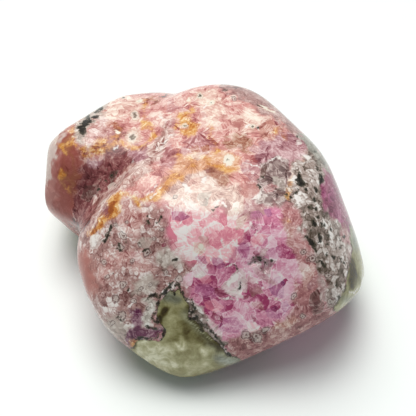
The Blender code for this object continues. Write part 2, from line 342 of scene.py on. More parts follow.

# %% [markdown]
# The front's outlines follow the ground form: the small lobe is salmon with dark blades along the groove,
# the large lobe runs from light salmon at its crest through bright pink to deep magenta, and lace borders
# it on the right. The dark blades also stand for painted shade in the groove, the rim and the grey edge carry
# a painted sheen, and the white crystals on the shoulder a painted highlight.

# %% Zones on the front
# tone, softness of the border in millimetres, outline in the camera's frame
FRONT_ZONES = [
    ("salmon", 1.5, [(30, 120), (60, 118), (90, 96), (126, 82), (163, 84), (182, 92), (178, 110),
        (166, 130), (152, 150), (135, 168), (112, 185), (98, 205), (80, 245), (55, 240), (34, 205)]),
    ("light salmon", 1.0, [(112, 108), (124, 92), (150, 86), (166, 92), (166, 112), (164, 130), (154, 146),
        (148, 156), (140, 156), (124, 150), (118, 140), (122, 126), (108, 122)]),
    ("cream", 0.8, [(106, 108), (116, 98), (142, 94), (146, 106), (138, 110), (122, 116), (110, 122),
        (100, 130), (100, 118)]),
    ("red brown", 0.4, [(140, 96), (150, 97), (163, 99), (162, 102), (148, 103), (142, 100)]),
    ("smooth end", 0.8, [(62, 132), (70, 132), (74, 142), (80, 152), (86, 164), (84, 186), (79, 212),
        (76, 246), (50, 236), (36, 200), (46, 182), (52, 165), (58, 146)]),
    ("smooth rust", 1.0, [(62, 142), (68, 134), (74, 146), (76, 160), (74, 176), (76, 190), (70, 204),
        (62, 200), (60, 180), (64, 162)]),
    ("smooth end", 0.8, [(64, 156), (70, 152), (74, 168), (70, 178), (64, 172)]),
    ("smooth end", 0.8, [(60, 186), (68, 182), (72, 200), (66, 212), (60, 204)]),
    ("edge mauve", 0.8, [(56, 142), (62, 142), (58, 160), (54, 180), (56, 205), (64, 226), (56, 232),
        (42, 205), (44, 188), (50, 166)]),
    # the corner facet's pale, flat tone is partly painted light falling on that face
    ("facet", 0.4, [(34, 141), (52, 128), (66, 130), (62, 136), (59, 146), (55, 160), (50, 181),
        (38, 182)]),
    ("pale halo", 0.6, [(72, 136), (74, 124), (84, 108), (96, 98), (108, 98), (108, 104), (104, 112),
        (100, 118), (92, 124), (88, 134), (82, 141)]),
    ("dusty pink", 0.6, [(88, 134), (92, 124), (102, 116), (110, 118), (108, 128), (98, 138), (90, 144),
        (82, 144)]),
    ("red brown", 0.5, [(90, 142), (98, 138), (108, 132), (116, 124), (124, 128), (120, 136), (122, 144),
        (118, 152), (108, 153), (94, 151)]),
    # the dark blades along the groove are partly painted shade in the groove
    ("dark blades with painted shade", 0.8, [(80, 166), (86, 158), (98, 152), (112, 148), (126, 152), (138, 158), (138, 168),
        (120, 180), (104, 192), (98, 202), (92, 214), (84, 236), (76, 236), (74, 212), (76, 186)]),
    ("mauve rose", 0.6, [(89, 152), (106, 151), (104, 162), (96, 170), (88, 166), (86, 158)]),
    ("mauve rose", 0.7, [(126, 150), (146, 148), (156, 150), (148, 164), (138, 168), (132, 158)]),
    ("light salmon", 1.6, [(164, 100), (172, 94), (182, 80), (264, 80), (266, 118), (262, 150), (250, 178),
        (246, 205), (200, 204), (166, 206), (128, 206), (108, 200), (118, 188), (138, 172), (154, 154),
        (165, 130)]),
    ("cream", 1.0, [(196, 94), (214, 90), (228, 98), (226, 118), (212, 130), (202, 120), (198, 106)]),
    ("cream", 1.2, [(226, 118), (244, 108), (260, 112), (262, 126), (250, 134), (234, 130)]),
    ("brown rose", 0.7, [(190, 136), (204, 128), (212, 138), (214, 150), (202, 153), (188, 152), (178, 156),
        (176, 166), (166, 168), (156, 162), (160, 150), (168, 145), (182, 146)]),
    ("tan", 0.7, [(224, 138), (234, 132), (248, 134), (252, 146), (246, 155), (232, 150), (222, 148)]),
    ("peach", 1.0, [(176, 156), (196, 150), (216, 152), (236, 156), (240, 168), (222, 176), (200, 176),
        (182, 182), (160, 198), (150, 196), (160, 182), (170, 172)]),
    ("tan", 0.6, [(203, 172), (216, 170), (228, 172), (232, 182), (224, 190), (212, 184)]),
    ("salmon", 0.7, [(256, 120), (268, 116), (278, 126), (286, 136), (280, 142), (268, 140), (260, 134)]),
    ("mauve rose", 0.7, [(258, 142), (270, 138), (284, 132), (300, 132), (308, 146), (302, 162), (288, 166),
        (270, 160), (262, 164), (256, 156)]),
    # the grey band along the top rim is partly a painted sheen
    ("rim with painted sheen", 0.6, [(214, 80), (250, 76), (268, 90), (284, 104), (300, 118), (312, 134), (300, 138),
        (286, 128), (272, 116), (258, 107), (244, 99), (232, 93), (222, 90)]),
    ("groove rim", 0.6, [(163, 118), (170, 120), (176, 134), (164, 150), (152, 166), (136, 180), (116, 192),
        (106, 204), (98, 222), (88, 238), (82, 238), (91, 216), (100, 196), (114, 184), (134, 170),
        (148, 156), (158, 138)]),
    ("dusty", 1.0, [(84, 236), (92, 226), (106, 220), (118, 204), (140, 206), (166, 206), (170, 222),
        (168, 238), (180, 250), (196, 256), (192, 270), (186, 282), (176, 292), (160, 298), (158, 330),
        (140, 356), (118, 352), (98, 326), (76, 292), (70, 252)]),
    ("dusty pink", 0.8, [(118, 206), (132, 206), (146, 212), (146, 226), (138, 238), (122, 232),
        (114, 220)]),
    ("dusty pink", 1.0, [(128, 250), (140, 250), (152, 262), (146, 274), (132, 268), (116, 262), (112, 274),
        (104, 284), (98, 276), (104, 258), (116, 252)]),
    ("smooth rose", 1.8, [(74, 250), (88, 252), (94, 264), (98, 280), (97, 294), (88, 296), (78, 286),
        (70, 266)]),
    ("pale halo", 0.8, [(160, 252), (172, 248), (184, 252), (180, 262), (166, 266), (158, 260)]),
    ("pale halo", 0.8, [(132, 282), (150, 276), (158, 290), (148, 296), (134, 294)]),
    ("pale halo", 1.0, [(102, 318), (116, 312), (126, 324), (124, 340), (110, 338)]),
    # on the shoulder the white crystals are partly a painted highlight
    ("white crystals", 0.8, [(176, 182), (190, 174), (206, 174), (214, 184), (228, 188), (241, 184),
        (246, 206), (232, 220), (212, 214), (196, 214), (180, 206), (158, 196), (164, 188)]),
    ("bright pink", 2.0, [(166, 208), (186, 207), (210, 214), (236, 218), (250, 224), (246, 240),
        (236, 262), (228, 276), (206, 268), (190, 264), (176, 250), (168, 238)]),
    ("magenta", 0.9, [(206, 266), (224, 262), (236, 258), (240, 244), (250, 222), (262, 206), (280, 206),
        (284, 224), (292, 244), (302, 260), (308, 280), (300, 296), (294, 312), (282, 324), (244, 334),
        (232, 346), (216, 342), (204, 322), (192, 300), (186, 282), (192, 270)]),
    ("grey crystals", 0.5, [(262, 160), (272, 156), (286, 158), (290, 172), (289, 200), (270, 204),
        (252, 202), (258, 184)]),
    ("rose", 0.6, [(244, 206), (252, 202), (270, 203), (262, 214), (250, 222), (244, 218)]),
    ("lace", 0.8, [(292, 164), (300, 158), (312, 146), (322, 158), (330, 174), (326, 192), (328, 206),
        (334, 222), (346, 236), (350, 256), (350, 276), (344, 296), (334, 314), (328, 296), (326, 278),
        (316, 272), (308, 260), (306, 244), (300, 228), (298, 212), (290, 204), (289, 184)]),
    # the grey edge on the right rim is partly a painted sheen
    ("grey edge with painted sheen", 0.6, [(300, 134), (312, 136), (332, 164), (328, 172), (316, 158), (304, 146)]),
    ("purple pink", 0.7, [(325, 178), (332, 166), (342, 176), (350, 200), (358, 232), (346, 230),
        (334, 220), (324, 208), (321, 194)]),
    ("brown rose", 0.9, [(280, 206), (290, 204), (298, 214), (300, 230), (306, 246), (310, 262), (318, 272),
        (324, 290), (326, 300), (322, 316), (302, 328), (286, 324), (284, 316), (292, 308), (294, 294),
        (304, 282), (302, 264), (292, 246), (284, 230)]),
    ("dusty pink", 0.7, [(285, 222), (292, 220), (297, 232), (294, 242), (287, 238)]),
    ("dusty pink", 0.8, [(298, 264), (312, 268), (316, 280), (306, 290), (296, 288), (300, 276)]),
    ("bottom mauve", 1.0, [(230, 342), (246, 332), (270, 330), (290, 326), (316, 318), (344, 306),
        (350, 316), (300, 352), (236, 384), (214, 380), (228, 358)]),
    ("salmon", 0.6, [(268, 320), (288, 316), (300, 322), (288, 330), (272, 330)]),
    ("panel grey", 0.4, [(142, 302), (150, 299), (159, 300), (157, 312), (153, 326), (147, 326),
        (143, 314)]),
    ("lace", 0.5, [(184, 297), (194, 300), (206, 322), (222, 338), (234, 354), (222, 352), (208, 338),
        (196, 326), (187, 312)]),
    ("purple", 0.6, [(130, 310), (138, 306), (143, 316), (146, 328), (154, 330), (162, 336), (146, 338),
        (132, 338), (124, 344), (122, 334), (130, 326)]),
]
print("zones on the front:", len(FRONT_ZONES))

# %% [markdown]
# The back and the flanks carry on in the same way. They are seen from all round, so their zones are balls
# set on the skin, each by its direction from the heart of the stone.

# %% Zones round the back
# tone, softness and radius in millimetres, then azimuth and elevation in degrees of each ball's centre
BACK_ZONES = [
    ("salmon", 4.0, 20, [(120, 20), (150, 30), (165, 0)]),
    ("light salmon", 4.0, 15, [(85, 45), (60, 35), (30, 45)]),
    ("bright pink", 2.5, 9, [(112, 32), (98, 26), (86, 18)]),
    ("dusty", 2.0, 7, [(132, 30), (142, 20), (136, 8)]),
    ("magenta", 2.5, 12, [(66, 14), (54, 2), (40, 10)]),
    ("bright pink", 2.5, 9, [(84, 2), (76, -8)]),
    ("rim with painted sheen", 1.5, 5, [(70, 30), (56, 26), (44, 22)]),
    ("dusty", 3.0, 13, [(20, -20), (2, -8), (-20, -25)]),
    ("lace", 1.6, 6, [(30, 24), (26, 12), (14, 2), (8, -10)]),
    ("dark blades with painted shade", 2.0, 7, [(104, 8), (98, -4), (94, -16)]),
    ("grey crystals", 1.6, 6, [(120, 0), (130, -14)]),
    ("white crystals", 1.6, 5, [(110, 18), (116, 8)]),
    ("bottom mauve", 3.0, 12, [(150, -25), (175, -25), (112, -28), (80, -32)]),
    ("purple pink", 2.0, 8, [(50, -20), (35, -26)]),
    ("lace", 1.4, 5, [(150, 12), (154, 0), (148, -12)]),
    ("magenta", 2.0, 7, [(166, 20), (172, 10)]),
    ("smooth end", 2.5, 9, [(180, 4), (186, -10)]),
    ("brown rose", 2.5, 9, [(160, -14), (140, -26)]),
    ("bottom mauve", 3.0, 14, [(-60, -30), (-90, -35), (-115, -35), (-35, -30)]),
    ("dusty", 3.0, 11, [(-140, -20), (-155, -25)]),
    ("magenta", 2.0, 8, [(-30, -20), (-44, -26)]),
    ("purple", 1.6, 5, [(64, -8), (72, -18)]),
]
print("zones round the back:", len(BACK_ZONES))

# %% [markdown]
# A few crystals are large enough to know one by one. They have straight, sharp borders, so they are drawn
# as small outlines with hardly any softness, over the zones. Others only stand out as a darker heart or a
# paler flash in their zone: for those a lift moves the ground towards its dark or its pale tone. A few lifts
# paint light instead: shade along the groove's crease and a highlight on the shoulder.

# %% Single crystals
FRONT_CRYSTALS = [
    ("clear crystal", [(220, 286), (227, 278), (233, 273), (240, 268), (245, 274), (240, 282), (239, 291),
        (243, 297), (234, 299), (226, 293)]),
    ("white", [(241, 268), (247, 274), (248, 284), (246, 292), (241, 292), (241, 282), (244, 276)]),
    ("grey crystals", [(248, 265), (254, 258), (260, 256), (268, 262), (276, 262), (272, 270), (270, 277),
        (262, 273), (254, 270)]),
    ("pale halo", [(262, 249), (268, 251), (268, 258), (261, 257)]),
    ("deep magenta", [(238, 250), (241, 243), (248, 241), (250, 250), (248, 258), (241, 258)]),
    ("deep magenta", [(268, 250), (279, 246), (281, 256), (274, 262), (268, 258)]),
    ("crimson", [(252, 253), (257, 250), (261, 255), (257, 259)]),
    ("magenta", [(281, 250), (292, 248), (298, 262), (290, 272), (282, 262)]),
    ("deep magenta", [(212, 257), (222, 256), (226, 264), (219, 270), (213, 266)]),
    ("deep magenta", [(195, 258), (205, 256), (208, 263), (200, 266)]),
    ("white", [(190, 269), (198, 265), (207, 269), (206, 276), (196, 278)]),
    ("bright pink", [(199, 279), (207, 274), (213, 280), (206, 284)]),
    ("deep magenta", [(197, 285), (206, 282), (214, 288), (217, 297), (210, 301), (200, 297), (194, 291)]),
    ("crimson", [(214, 287), (223, 289), (230, 296), (220, 298), (214, 295)]),
    ("bright pink", [(250, 238), (258, 232), (268, 236), (262, 246), (254, 248)]),
    ("rose", [(249, 276), (258, 279), (264, 293), (252, 297), (247, 288)]),
    ("brown rose", [(250, 301), (262, 302), (264, 311), (255, 309)]),
    ("crimson", [(251, 312), (257, 319), (254, 322), (250, 316)]),
    ("crimson", [(242, 295), (250, 293), (247, 298), (241, 299)]),
    ("deep magenta", [(264, 310), (275, 306), (285, 314), (276, 318), (265, 316)]),
    ("violet", [(278, 303), (287, 300), (291, 308), (284, 313)]),
    ("violet", [(270, 280), (280, 276), (285, 286), (282, 297), (272, 296), (268, 288)]),
    ("magenta", [(285, 262), (298, 264), (302, 272), (291, 276)]),
    ("crimson", [(213, 311), (222, 315), (225, 320), (216, 322), (210, 318)]),
    ("deep magenta", [(222, 318), (236, 317), (243, 326), (238, 334), (227, 332), (221, 326)]),
    ("violet", [(218, 322), (225, 324), (224, 331), (219, 328)]),
    ("bright pink", [(205, 303), (215, 300), (224, 306), (216, 312), (205, 310)]),
    ("bright pink", [(244, 322), (256, 322), (262, 330), (250, 334)]),
    ("white", [(205, 320), (213, 321), (222, 332), (223, 338), (214, 332)]),
    ("mauve rose", [(252, 264), (268, 274), (278, 286), (268, 282), (256, 274)]),
    ("deep magenta", [(170, 211), (182, 209), (190, 215), (181, 220), (172, 220)]),
    ("salmon block", [(198, 236), (207, 235), (211, 246), (201, 245)]),
    ("bright pink", [(212, 234), (221, 232), (223, 245), (212, 248)]),
    ("cream", [(193, 243), (204, 243), (206, 250), (200, 256), (193, 252)]),
    ("white crystals", [(236, 218), (248, 214), (243, 226), (234, 232)]),
    ("crimson", [(250, 228), (254, 222), (260, 225), (255, 230)]),
    ("deep magenta", [(250, 213), (258, 210), (262, 216), (255, 220), (249, 219)]),
    ("violet", [(263, 209), (270, 208), (271, 216), (265, 218)]),
    # the white crystals on the shoulder, down to 520, are partly a painted highlight
    ("white crystals", [(191, 191), (199, 177), (212, 178), (211, 191)]),
    ("panel grey", [(196, 194), (212, 192), (208, 206), (200, 206)]),
    ("white", [(181, 199), (188, 194), (197, 204), (199, 210), (188, 208)]),
    ("white", [(212, 206), (216, 200), (226, 196), (222, 202), (214, 209)]),
    ("brown rose", [(217, 205), (224, 199), (226, 206)]),
    ("cream", [(187, 183), (192, 178), (199, 180), (199, 188), (190, 190)]),
    ("brown rose", [(165, 112), (167, 101), (171, 99), (177, 106), (172, 113)]),
    ("brown rose", [(177, 105), (183, 105), (187, 110), (181, 112)]),
    ("brown rose", [(165, 121), (174, 118), (180, 126), (174, 130), (166, 127)]),
    ("brown rose", [(201, 112), (206, 112), (208, 118), (203, 119)]),
    ("brown rose", [(164, 147), (171, 146), (172, 151), (165, 152)]),
    ("red brown", [(190, 147), (199, 144), (200, 151), (191, 152)]),
    ("red brown", [(201, 146), (209, 143), (211, 150), (203, 151)]),
    ("white crystals", [(186, 155), (195, 153), (202, 150), (198, 160), (190, 158)]),
    ("white crystals", [(236, 150), (240, 143), (244, 150)]),
    ("mauve rose", [(249, 150), (252, 144), (258, 147), (256, 152)]),
    ("mauve rose", [(239, 166), (246, 160), (262, 162), (258, 174), (250, 180), (242, 174)]),
    ("salmon block", [(242, 183), (257, 181), (260, 189), (252, 200), (243, 197)]),
    ("crimson", [(273, 121), (278, 121), (279, 125), (275, 126)]),
    ("red brown", [(280, 134), (287, 134), (287, 141), (282, 142)]),
    ("mauve rose", [(284, 142), (298, 142), (296, 150), (286, 150)]),
    ("white", [(295, 140), (300, 139), (301, 144), (296, 145)]),
    ("brown crystal", [(262, 165), (269, 161), (266, 174), (261, 180), (259, 176)]),
    ("lilac crystal", [(270, 163), (277, 159), (284, 165), (285, 176), (276, 182), (269, 176)]),
    ("panel grey", [(272, 176), (284, 178), (288, 190), (280, 190), (272, 184)]),
    ("brown rose", [(262, 188), (270, 184), (280, 188), (272, 194), (264, 193)]),
    ("brown crystal", [(272, 187), (282, 190), (290, 196), (287, 199), (278, 194)]),
    ("lilac crystal", [(262, 194), (276, 195), (285, 201), (270, 203), (256, 202)]),
    ("white", [(251, 200), (258, 193), (262, 190), (258, 198)]),
    ("deep magenta", [(322, 192), (326, 188), (328, 197), (323, 199)]),
    ("deep magenta", [(329, 191), (334, 188), (336, 200), (331, 203)]),
    ("deep magenta", [(334, 210), (339, 208), (342, 222), (337, 224)]),
    ("lilac crystal", [(318, 270), (322, 276), (328, 290), (326, 301), (320, 297), (317, 284)]),
    ("brown crystal", [(309, 302), (311, 293), (316, 287), (320, 297), (325, 304), (323, 313), (313, 317)]),
    ("mauve rose", [(306, 284), (313, 276), (318, 277), (315, 286), (308, 290)]),
    ("white", [(90, 236), (98, 231), (102, 241), (98, 249), (91, 249)]),
    ("dark blades with painted shade", [(144, 225), (151, 224), (153, 231), (147, 234)]),
    ("crimson", [(161, 245), (166, 243), (168, 248), (162, 249)]),
    ("pale halo", [(135, 241), (143, 238), (152, 240), (150, 248), (140, 249)]),
    ("brown rose", [(129, 252), (139, 250), (142, 262), (132, 264)]),
    ("light salmon", [(91, 161), (90, 152), (106, 152), (102, 160)]),
    ("brown rose", [(107, 143), (106, 131), (112, 126), (116, 136), (112, 144)]),
    # the dark blades and brown crystals on the groove's face, down to 560, are partly painted shade
    ("dark blades with painted shade", [(104, 168), (106, 152), (112, 156), (110, 168)]),
    ("dark blades with painted shade", [(114, 170), (113, 156), (120, 153), (128, 166), (122, 172)]),
    ("brown crystal", [(82, 198), (84, 186), (100, 184), (98, 194), (90, 201)]),
    ("brown crystal", [(108, 178), (110, 171), (119, 170), (118, 177), (112, 182)]),
    ("pale halo", [(106, 186), (114, 181), (117, 183), (109, 189)]),
]
print("single crystals on the front:", len(FRONT_CRYSTALS))

# %% Lifts
# amount, softness in millimetres, and a chain of beads in the camera's frame
LIFTS = [
    # The first and the third lift darken the groove's crease: painted shade. The lift from 231,196 to 237,208
    # is a painted highlight on the shoulder.
    (-0.9, 0.3, [(102, 196, 1), (97, 205, 1.3), (92, 214, 1.2), (86, 226, 1.0), (80, 238, 0.8)]),
    (0.6, 0.3, [(105, 200, 0.8), (100, 212, 1.2), (92, 226, 1.0)]),
    (-0.5, 0.3, [(104, 206, 0.8), (94, 228, 0.8)]), (-0.7, 0.3, [(268, 147, 0.8), (267, 158, 1)]),
    (-0.5, 0.5, [(265, 135, 2)]), (-0.4, 0.8, [(284, 147, 4)]), (-0.8, 0.4, [(266, 331, 2), (267, 337, 2)]),
    (-0.8, 0.4, [(251, 339, 1.6), (254, 340, 1.6)]), (0.5, 1.2, [(242, 117, 3), (254, 116, 4)]),
    (0.5, 0.5, [(125, 325, 1.6), (133, 324, 2)]), (0.35, 1.2, [(272, 338, 5), (288, 336, 5)]),
    (0.5, 0.8, [(292, 172, 2.5), (294, 188, 2.5)]), (0.5, 1.0, [(231, 196, 4), (237, 208, 4)]),
    (0.3, 1.5, [(226, 228, 5), (238, 222, 5)]), (0.35, 1.0, [(206, 272, 5), (222, 268, 4)]),
    (0.4, 0.8, [(238, 304, 4), (256, 302, 4)]), (0.4, 1.0, [(182, 232, 3), (190, 226, 4)]),
    (0.3, 1.0, [(262, 236, 4), (282, 232, 4)]), (0.3, 1.0, [(205, 122, 4), (216, 124, 4)]),
    (-0.3, 1.0, [(104, 262, 4), (118, 266, 4)]), (0.4, 0.8, [(148, 112, 4), (160, 116, 4), (158, 126, 3)]),
    (0.4, 0.8, [(246, 268, 3), (256, 282, 2)]), (-0.5, 0.6, [(118, 198, 2), (110, 212, 2)]),
    (0.5, 0.8, [(300, 200, 4), (297, 194, 3)]), (0.4, 1.0, [(104, 124, 3), (112, 112, 4)]),
    (-0.4, 0.8, [(140, 216, 3)]), (-0.5, 1.0, [(312, 306, 4)]),
]
print("lifts:", len(LIFTS))

# %% Crystals round the back
# tone, azimuth, elevation, radius in millimetres, and the turn of its five straight sides in degrees
BACK_CRYSTALS = [
    ("deep magenta", 66, 12, 2.0, 10), ("violet", 60, 6, 1.6, 40), ("crimson", 54, 14, 1.0, 0),
    ("bright pink", 72, 6, 1.8, 25), ("deep magenta", 46, 4, 1.8, 60), ("magenta", 52, -4, 1.6, 15),
    ("white", 58, 12, 1.0, 50), ("deep magenta", 112, 34, 1.8, 35), ("bright pink", 104, 30, 1.9, 5),
    ("crimson", 96, 28, 0.9, 20), ("brown rose", 88, 36, 1.8, 45), ("white crystals", 78, 42, 1.6, 12),
    ("brown rose", 66, 38, 1.5, 33), ("cream", 58, 42, 1.8, 8), ("red brown", 46, 38, 1.2, 52),
    ("brown rose", 130, 34, 1.6, 18), ("white crystals", 138, 42, 1.5, 41), ("red brown", 150, 26, 1.4, 27),
    ("brown crystal", 118, 2, 1.6, 14), ("lilac crystal", 124, -6, 2.0, 37),
    ("panel grey", 130, -16, 1.8, 3), ("brown crystal", 104, 6, 1.5, 22), ("dark blades with painted shade", 98, -10, 1.9, 48),
    ("brown rose", 92, -20, 1.7, 9), ("white", 112, 14, 1.1, 30), ("clear crystal", 84, 6, 1.7, 21),
    ("white crystals", 90, 14, 1.4, 55), ("violet", 40, 14, 1.4, 17), ("magenta", 34, 6, 1.5, 44),
    ("salmon block", 24, -20, 2.0, 6), ("brown rose", 10, -24, 1.7, 29), ("mauve rose", -4, -16, 1.8, 51),
    ("deep magenta", -34, -22, 1.5, 13), ("bright pink", -42, -26, 1.4, 38),
    ("deep magenta", 168, 16, 1.5, 24), ("violet", 172, 4, 1.3, 46), ("salmon block", 160, -8, 1.8, 11),
    ("brown rose", 146, -22, 1.7, 32), ("white", 156, 8, 0.9, 2), ("mauve rose", 80, -26, 1.8, 19),
    ("brown rose", -140, -24, 1.6, 42), ("lilac crystal", -60, -34, 1.6, 7),
]

FACET_SIDES = 5
SIDE_SWING = 22  # how far in degrees a side may turn off the regular shape
NEAR_SIDE, SIDE_SPREAD = 0.85, 0.35  # the nearest side, and how much further out others lie, in radii
FACET_REACH = 2.0


def facet_depth(centre, radius, turn):
    """How deep each point lies inside a five-sided crystal lying in the skin at a centre."""
    out = Vector(normals[np.argmin(np.linalg.norm(places - centre, axis=1))])
    east = out.orthogonal().normalized()
    north = out.cross(east)
    off = places - centre
    sides = [FACET_REACH * radius - np.linalg.norm(off, axis=1)]
    for number in range(FACET_SIDES):
        angle = math.radians(turn + 360 / FACET_SIDES * number + SIDE_SWING * math.sin(turn + 3 * number))
        side = np.array(east * math.cos(angle) + north * math.sin(angle))
        distance = radius * (NEAR_SIDE + SIDE_SPREAD * math.sin(2 * turn + 5 * number) ** 2)
        sides.append(distance - off @ side)
    return np.min(sides, axis=0)


print("crystals round the back:", len(BACK_CRYSTALS))

# %% Blend the zones
TONE_NAMES = ("deep", "body", "pale")
GROWTH_NAMES = ("lacy", "speckled", "fanned", "broad")
fields = {layer + name: np.zeros((count, 3)) for layer in ("", "crystal_") for name in TONE_NAMES}
fields |= {name: np.zeros(count) for name in GROWTH_NAMES}
fields["crystal"] = np.full(count, NO_MARK)
CRYSTAL_SOFTNESS = (-0.15, 0.35)


def paint(tone, amount, layer=""):
    """Lays a tone over the ground, or over the crystals' own layer, where the amount is above nought."""
    for name, code in zip(TONE_NAMES, TONES[tone]):
        fields[layer + name] += amount[:, None] * (np.array(colour(code)[:3]) - fields[layer + name])


def grow(tone, amount):
    """Lays a tone's laciness, specks, fans and broad crystals over the ground."""
    for name, value in zip(GROWTH_NAMES, TONES[tone][len(TONE_NAMES):]):
        fields[name] += amount * (value - fields[name])


def lay(tone, amount):
    """Lays a whole zone over the ground."""
    paint(tone, amount)
    grow(tone, amount)


def set_crystal(tone, depths):
    """Sets a crystal into the skin: its tone where it is the nearest, and the depth inside its own border."""
    paint(tone, ((depths > fields["crystal"]) | (depths > 0.0)) * 1.0, "crystal_")
    grow(tone, smooth_step(*CRYSTAL_SOFTNESS, depths))
    before = fields["crystal"]
    cut = np.where(before > 0.0, np.minimum(before, -depths), np.maximum(before, depths))
    fields["crystal"] = np.where(depths > 0.0, depths, cut)


lay("rose", np.ones(count))
for tone, softness, radius, directions in BACK_ZONES:
    beads = [(*on_skin(azimuth, elevation), radius) for azimuth, elevation in directions]
    lay(tone, smooth_step(-softness, softness, chain_depth(beads, wandered)))
for tone, softness, outline in FRONT_ZONES:
    lay(tone, smooth_step(-softness, softness, outline_depth(outline, zoned) * MM_PER_PIXEL) * in_view)
print("laciest points:", int((fields["lacy"] > 0.5).sum()))

# %% Set the crystals and lift the ground
LIFT_TAKEN = 0.5  # how much of an earlier lift a later one takes off
for tone, azimuth, elevation, radius, turn in BACK_CRYSTALS:
    near = round_back(facet_depth(on_skin(azimuth, elevation), radius, turn))
    set_crystal(tone, np.maximum(near, NO_MARK))
for tone, outline in FRONT_CRYSTALS:
    set_crystal(tone, on_front(outline_depth(outline, drawn) * MM_PER_PIXEL))
fields["lift"] = np.zeros(count)
for amount, softness, beads in LIFTS:
    fields["lift"] += front_share(beads, softness) * (amount - fields["lift"] * LIFT_TAKEN)
print("crystals cover", round(100 * float((fields["crystal"] > 0).mean()), 1), "% of the skin")

# %% [markdown]
# ## Stains, specks and flashes
#
# Iron left orange clouds and rusty seams, manganese left black specks, and broken cleavage shows as white
# flashes. Black marks in the groove and in the cavity are partly painted shade, and white patches on the
# shoulder a painted highlight. Each mineral is one distance field over the whole stone, made from chains of
# beads, so the material can treat it as one layer with its own colours.

# %% Marks on the front
# chains of beads in the camera's frame: across, down and radius
ORANGE_FRONT = {
    "rusty end": [[(79, 147, 1.6), (84, 149, 2.6), (86, 154, 2.4)]],
    "shoulder band": [[(71, 146, 1.6), (72, 138, 2), (73, 130, 1)], [(72, 142, 1), (78, 147, 2)]],
    "left wall": [[(62, 146, 1.6), (66, 152, 1)], [(61, 168, 1.8), (63, 176, 2.2)],
        [(68, 186, 1.6), (69, 192, 1.2)]],
    "small lobe seams": [[(92, 148, 1), (96, 143, 3), (104, 141, 3), (108, 140, 1)],
        [(98, 149, 1.5), (106, 147, 3), (112, 147, 3), (114, 142, 2)],
        [(112, 136, 2), (118, 134, 2.5), (119, 130, 1.5)], [(142, 120, 2), (145, 124, 4), (150, 126, 2)],
        [(144, 102, 1), (145, 112, 2), (143, 120, 2)], [(145, 101, 1.2), (145, 106, 2)],
        [(176, 121, 1), (178, 126, 2.4)]],
    "eye arcs": [[(121, 141, 1), (125, 148, 1.6), (132, 149, 1.2), (140, 148, 1.2), (147, 143, 1)],
        [(152, 129, 1), (153, 134, 1.8), (149, 140, 1.2)]],
    "golden streak": [[(119, 197, 4.1), (114, 203, 6.7), (111, 213, 6.1), (109, 217, 3.5)],
        [(104, 219, 4.1), (98, 227, 3.5), (93, 233, 3)], [(102, 214, 2.4), (99, 222, 2.8)]],
    "thin line": [[(124, 195, 0.7), (130, 196, 1), (135, 200, 1), (138, 203, 1.6), (139, 207, 1.2)],
        [(141, 200, 0.8), (147, 197, 1.3), (153, 198, 1)]],
    "centre cloud": [[(153, 196, 2.5), (158, 193, 4), (165, 187, 5), (168, 180, 4), (174, 177, 4),
        (182, 178, 3)]],
    "crest cloud": [[(181, 117, 3.7), (188, 122, 6.5), (192, 126, 4.7)],
        [(182, 131, 1.9), (187, 134, 2.8), (192, 132, 1.9)], [(177, 128, 1.9), (181, 124, 1.9)],
        [(191, 103, 0.9), (193, 113, 1.4)]],
    "crest drips": [[(210, 129, 1.3), (211, 138, 2.2), (216, 146, 2.6), (218, 151, 1.8)], [(204, 156, 1.8),
        (208, 162, 3.5), (214, 166, 3.5), (222, 168, 2.6), (229, 170, 2.1), (236, 167, 1.3)],
        [(178, 151, 1.8), (180, 156, 2.6)], [(190, 160, 1.8), (194, 166, 3.1), (188, 168, 1.8)],
        [(164, 186, 1.8), (170, 186, 1.8)]],
    "olive tip": [[(132, 346, 1.2), (134, 342, 1.4), (138, 340, 0.8)]],
    "right seam": [[(293, 166, 0.4), (291, 176, 0.5), (290, 188, 0.4), (287, 196, 0.3)],
        [(281, 219, 0.9), (286, 218, 0.8), (291, 221, 0.6)], [(302, 160, 0.7)], [(284, 137, 0.8)],
        [(276, 131, 0.9)]],
}
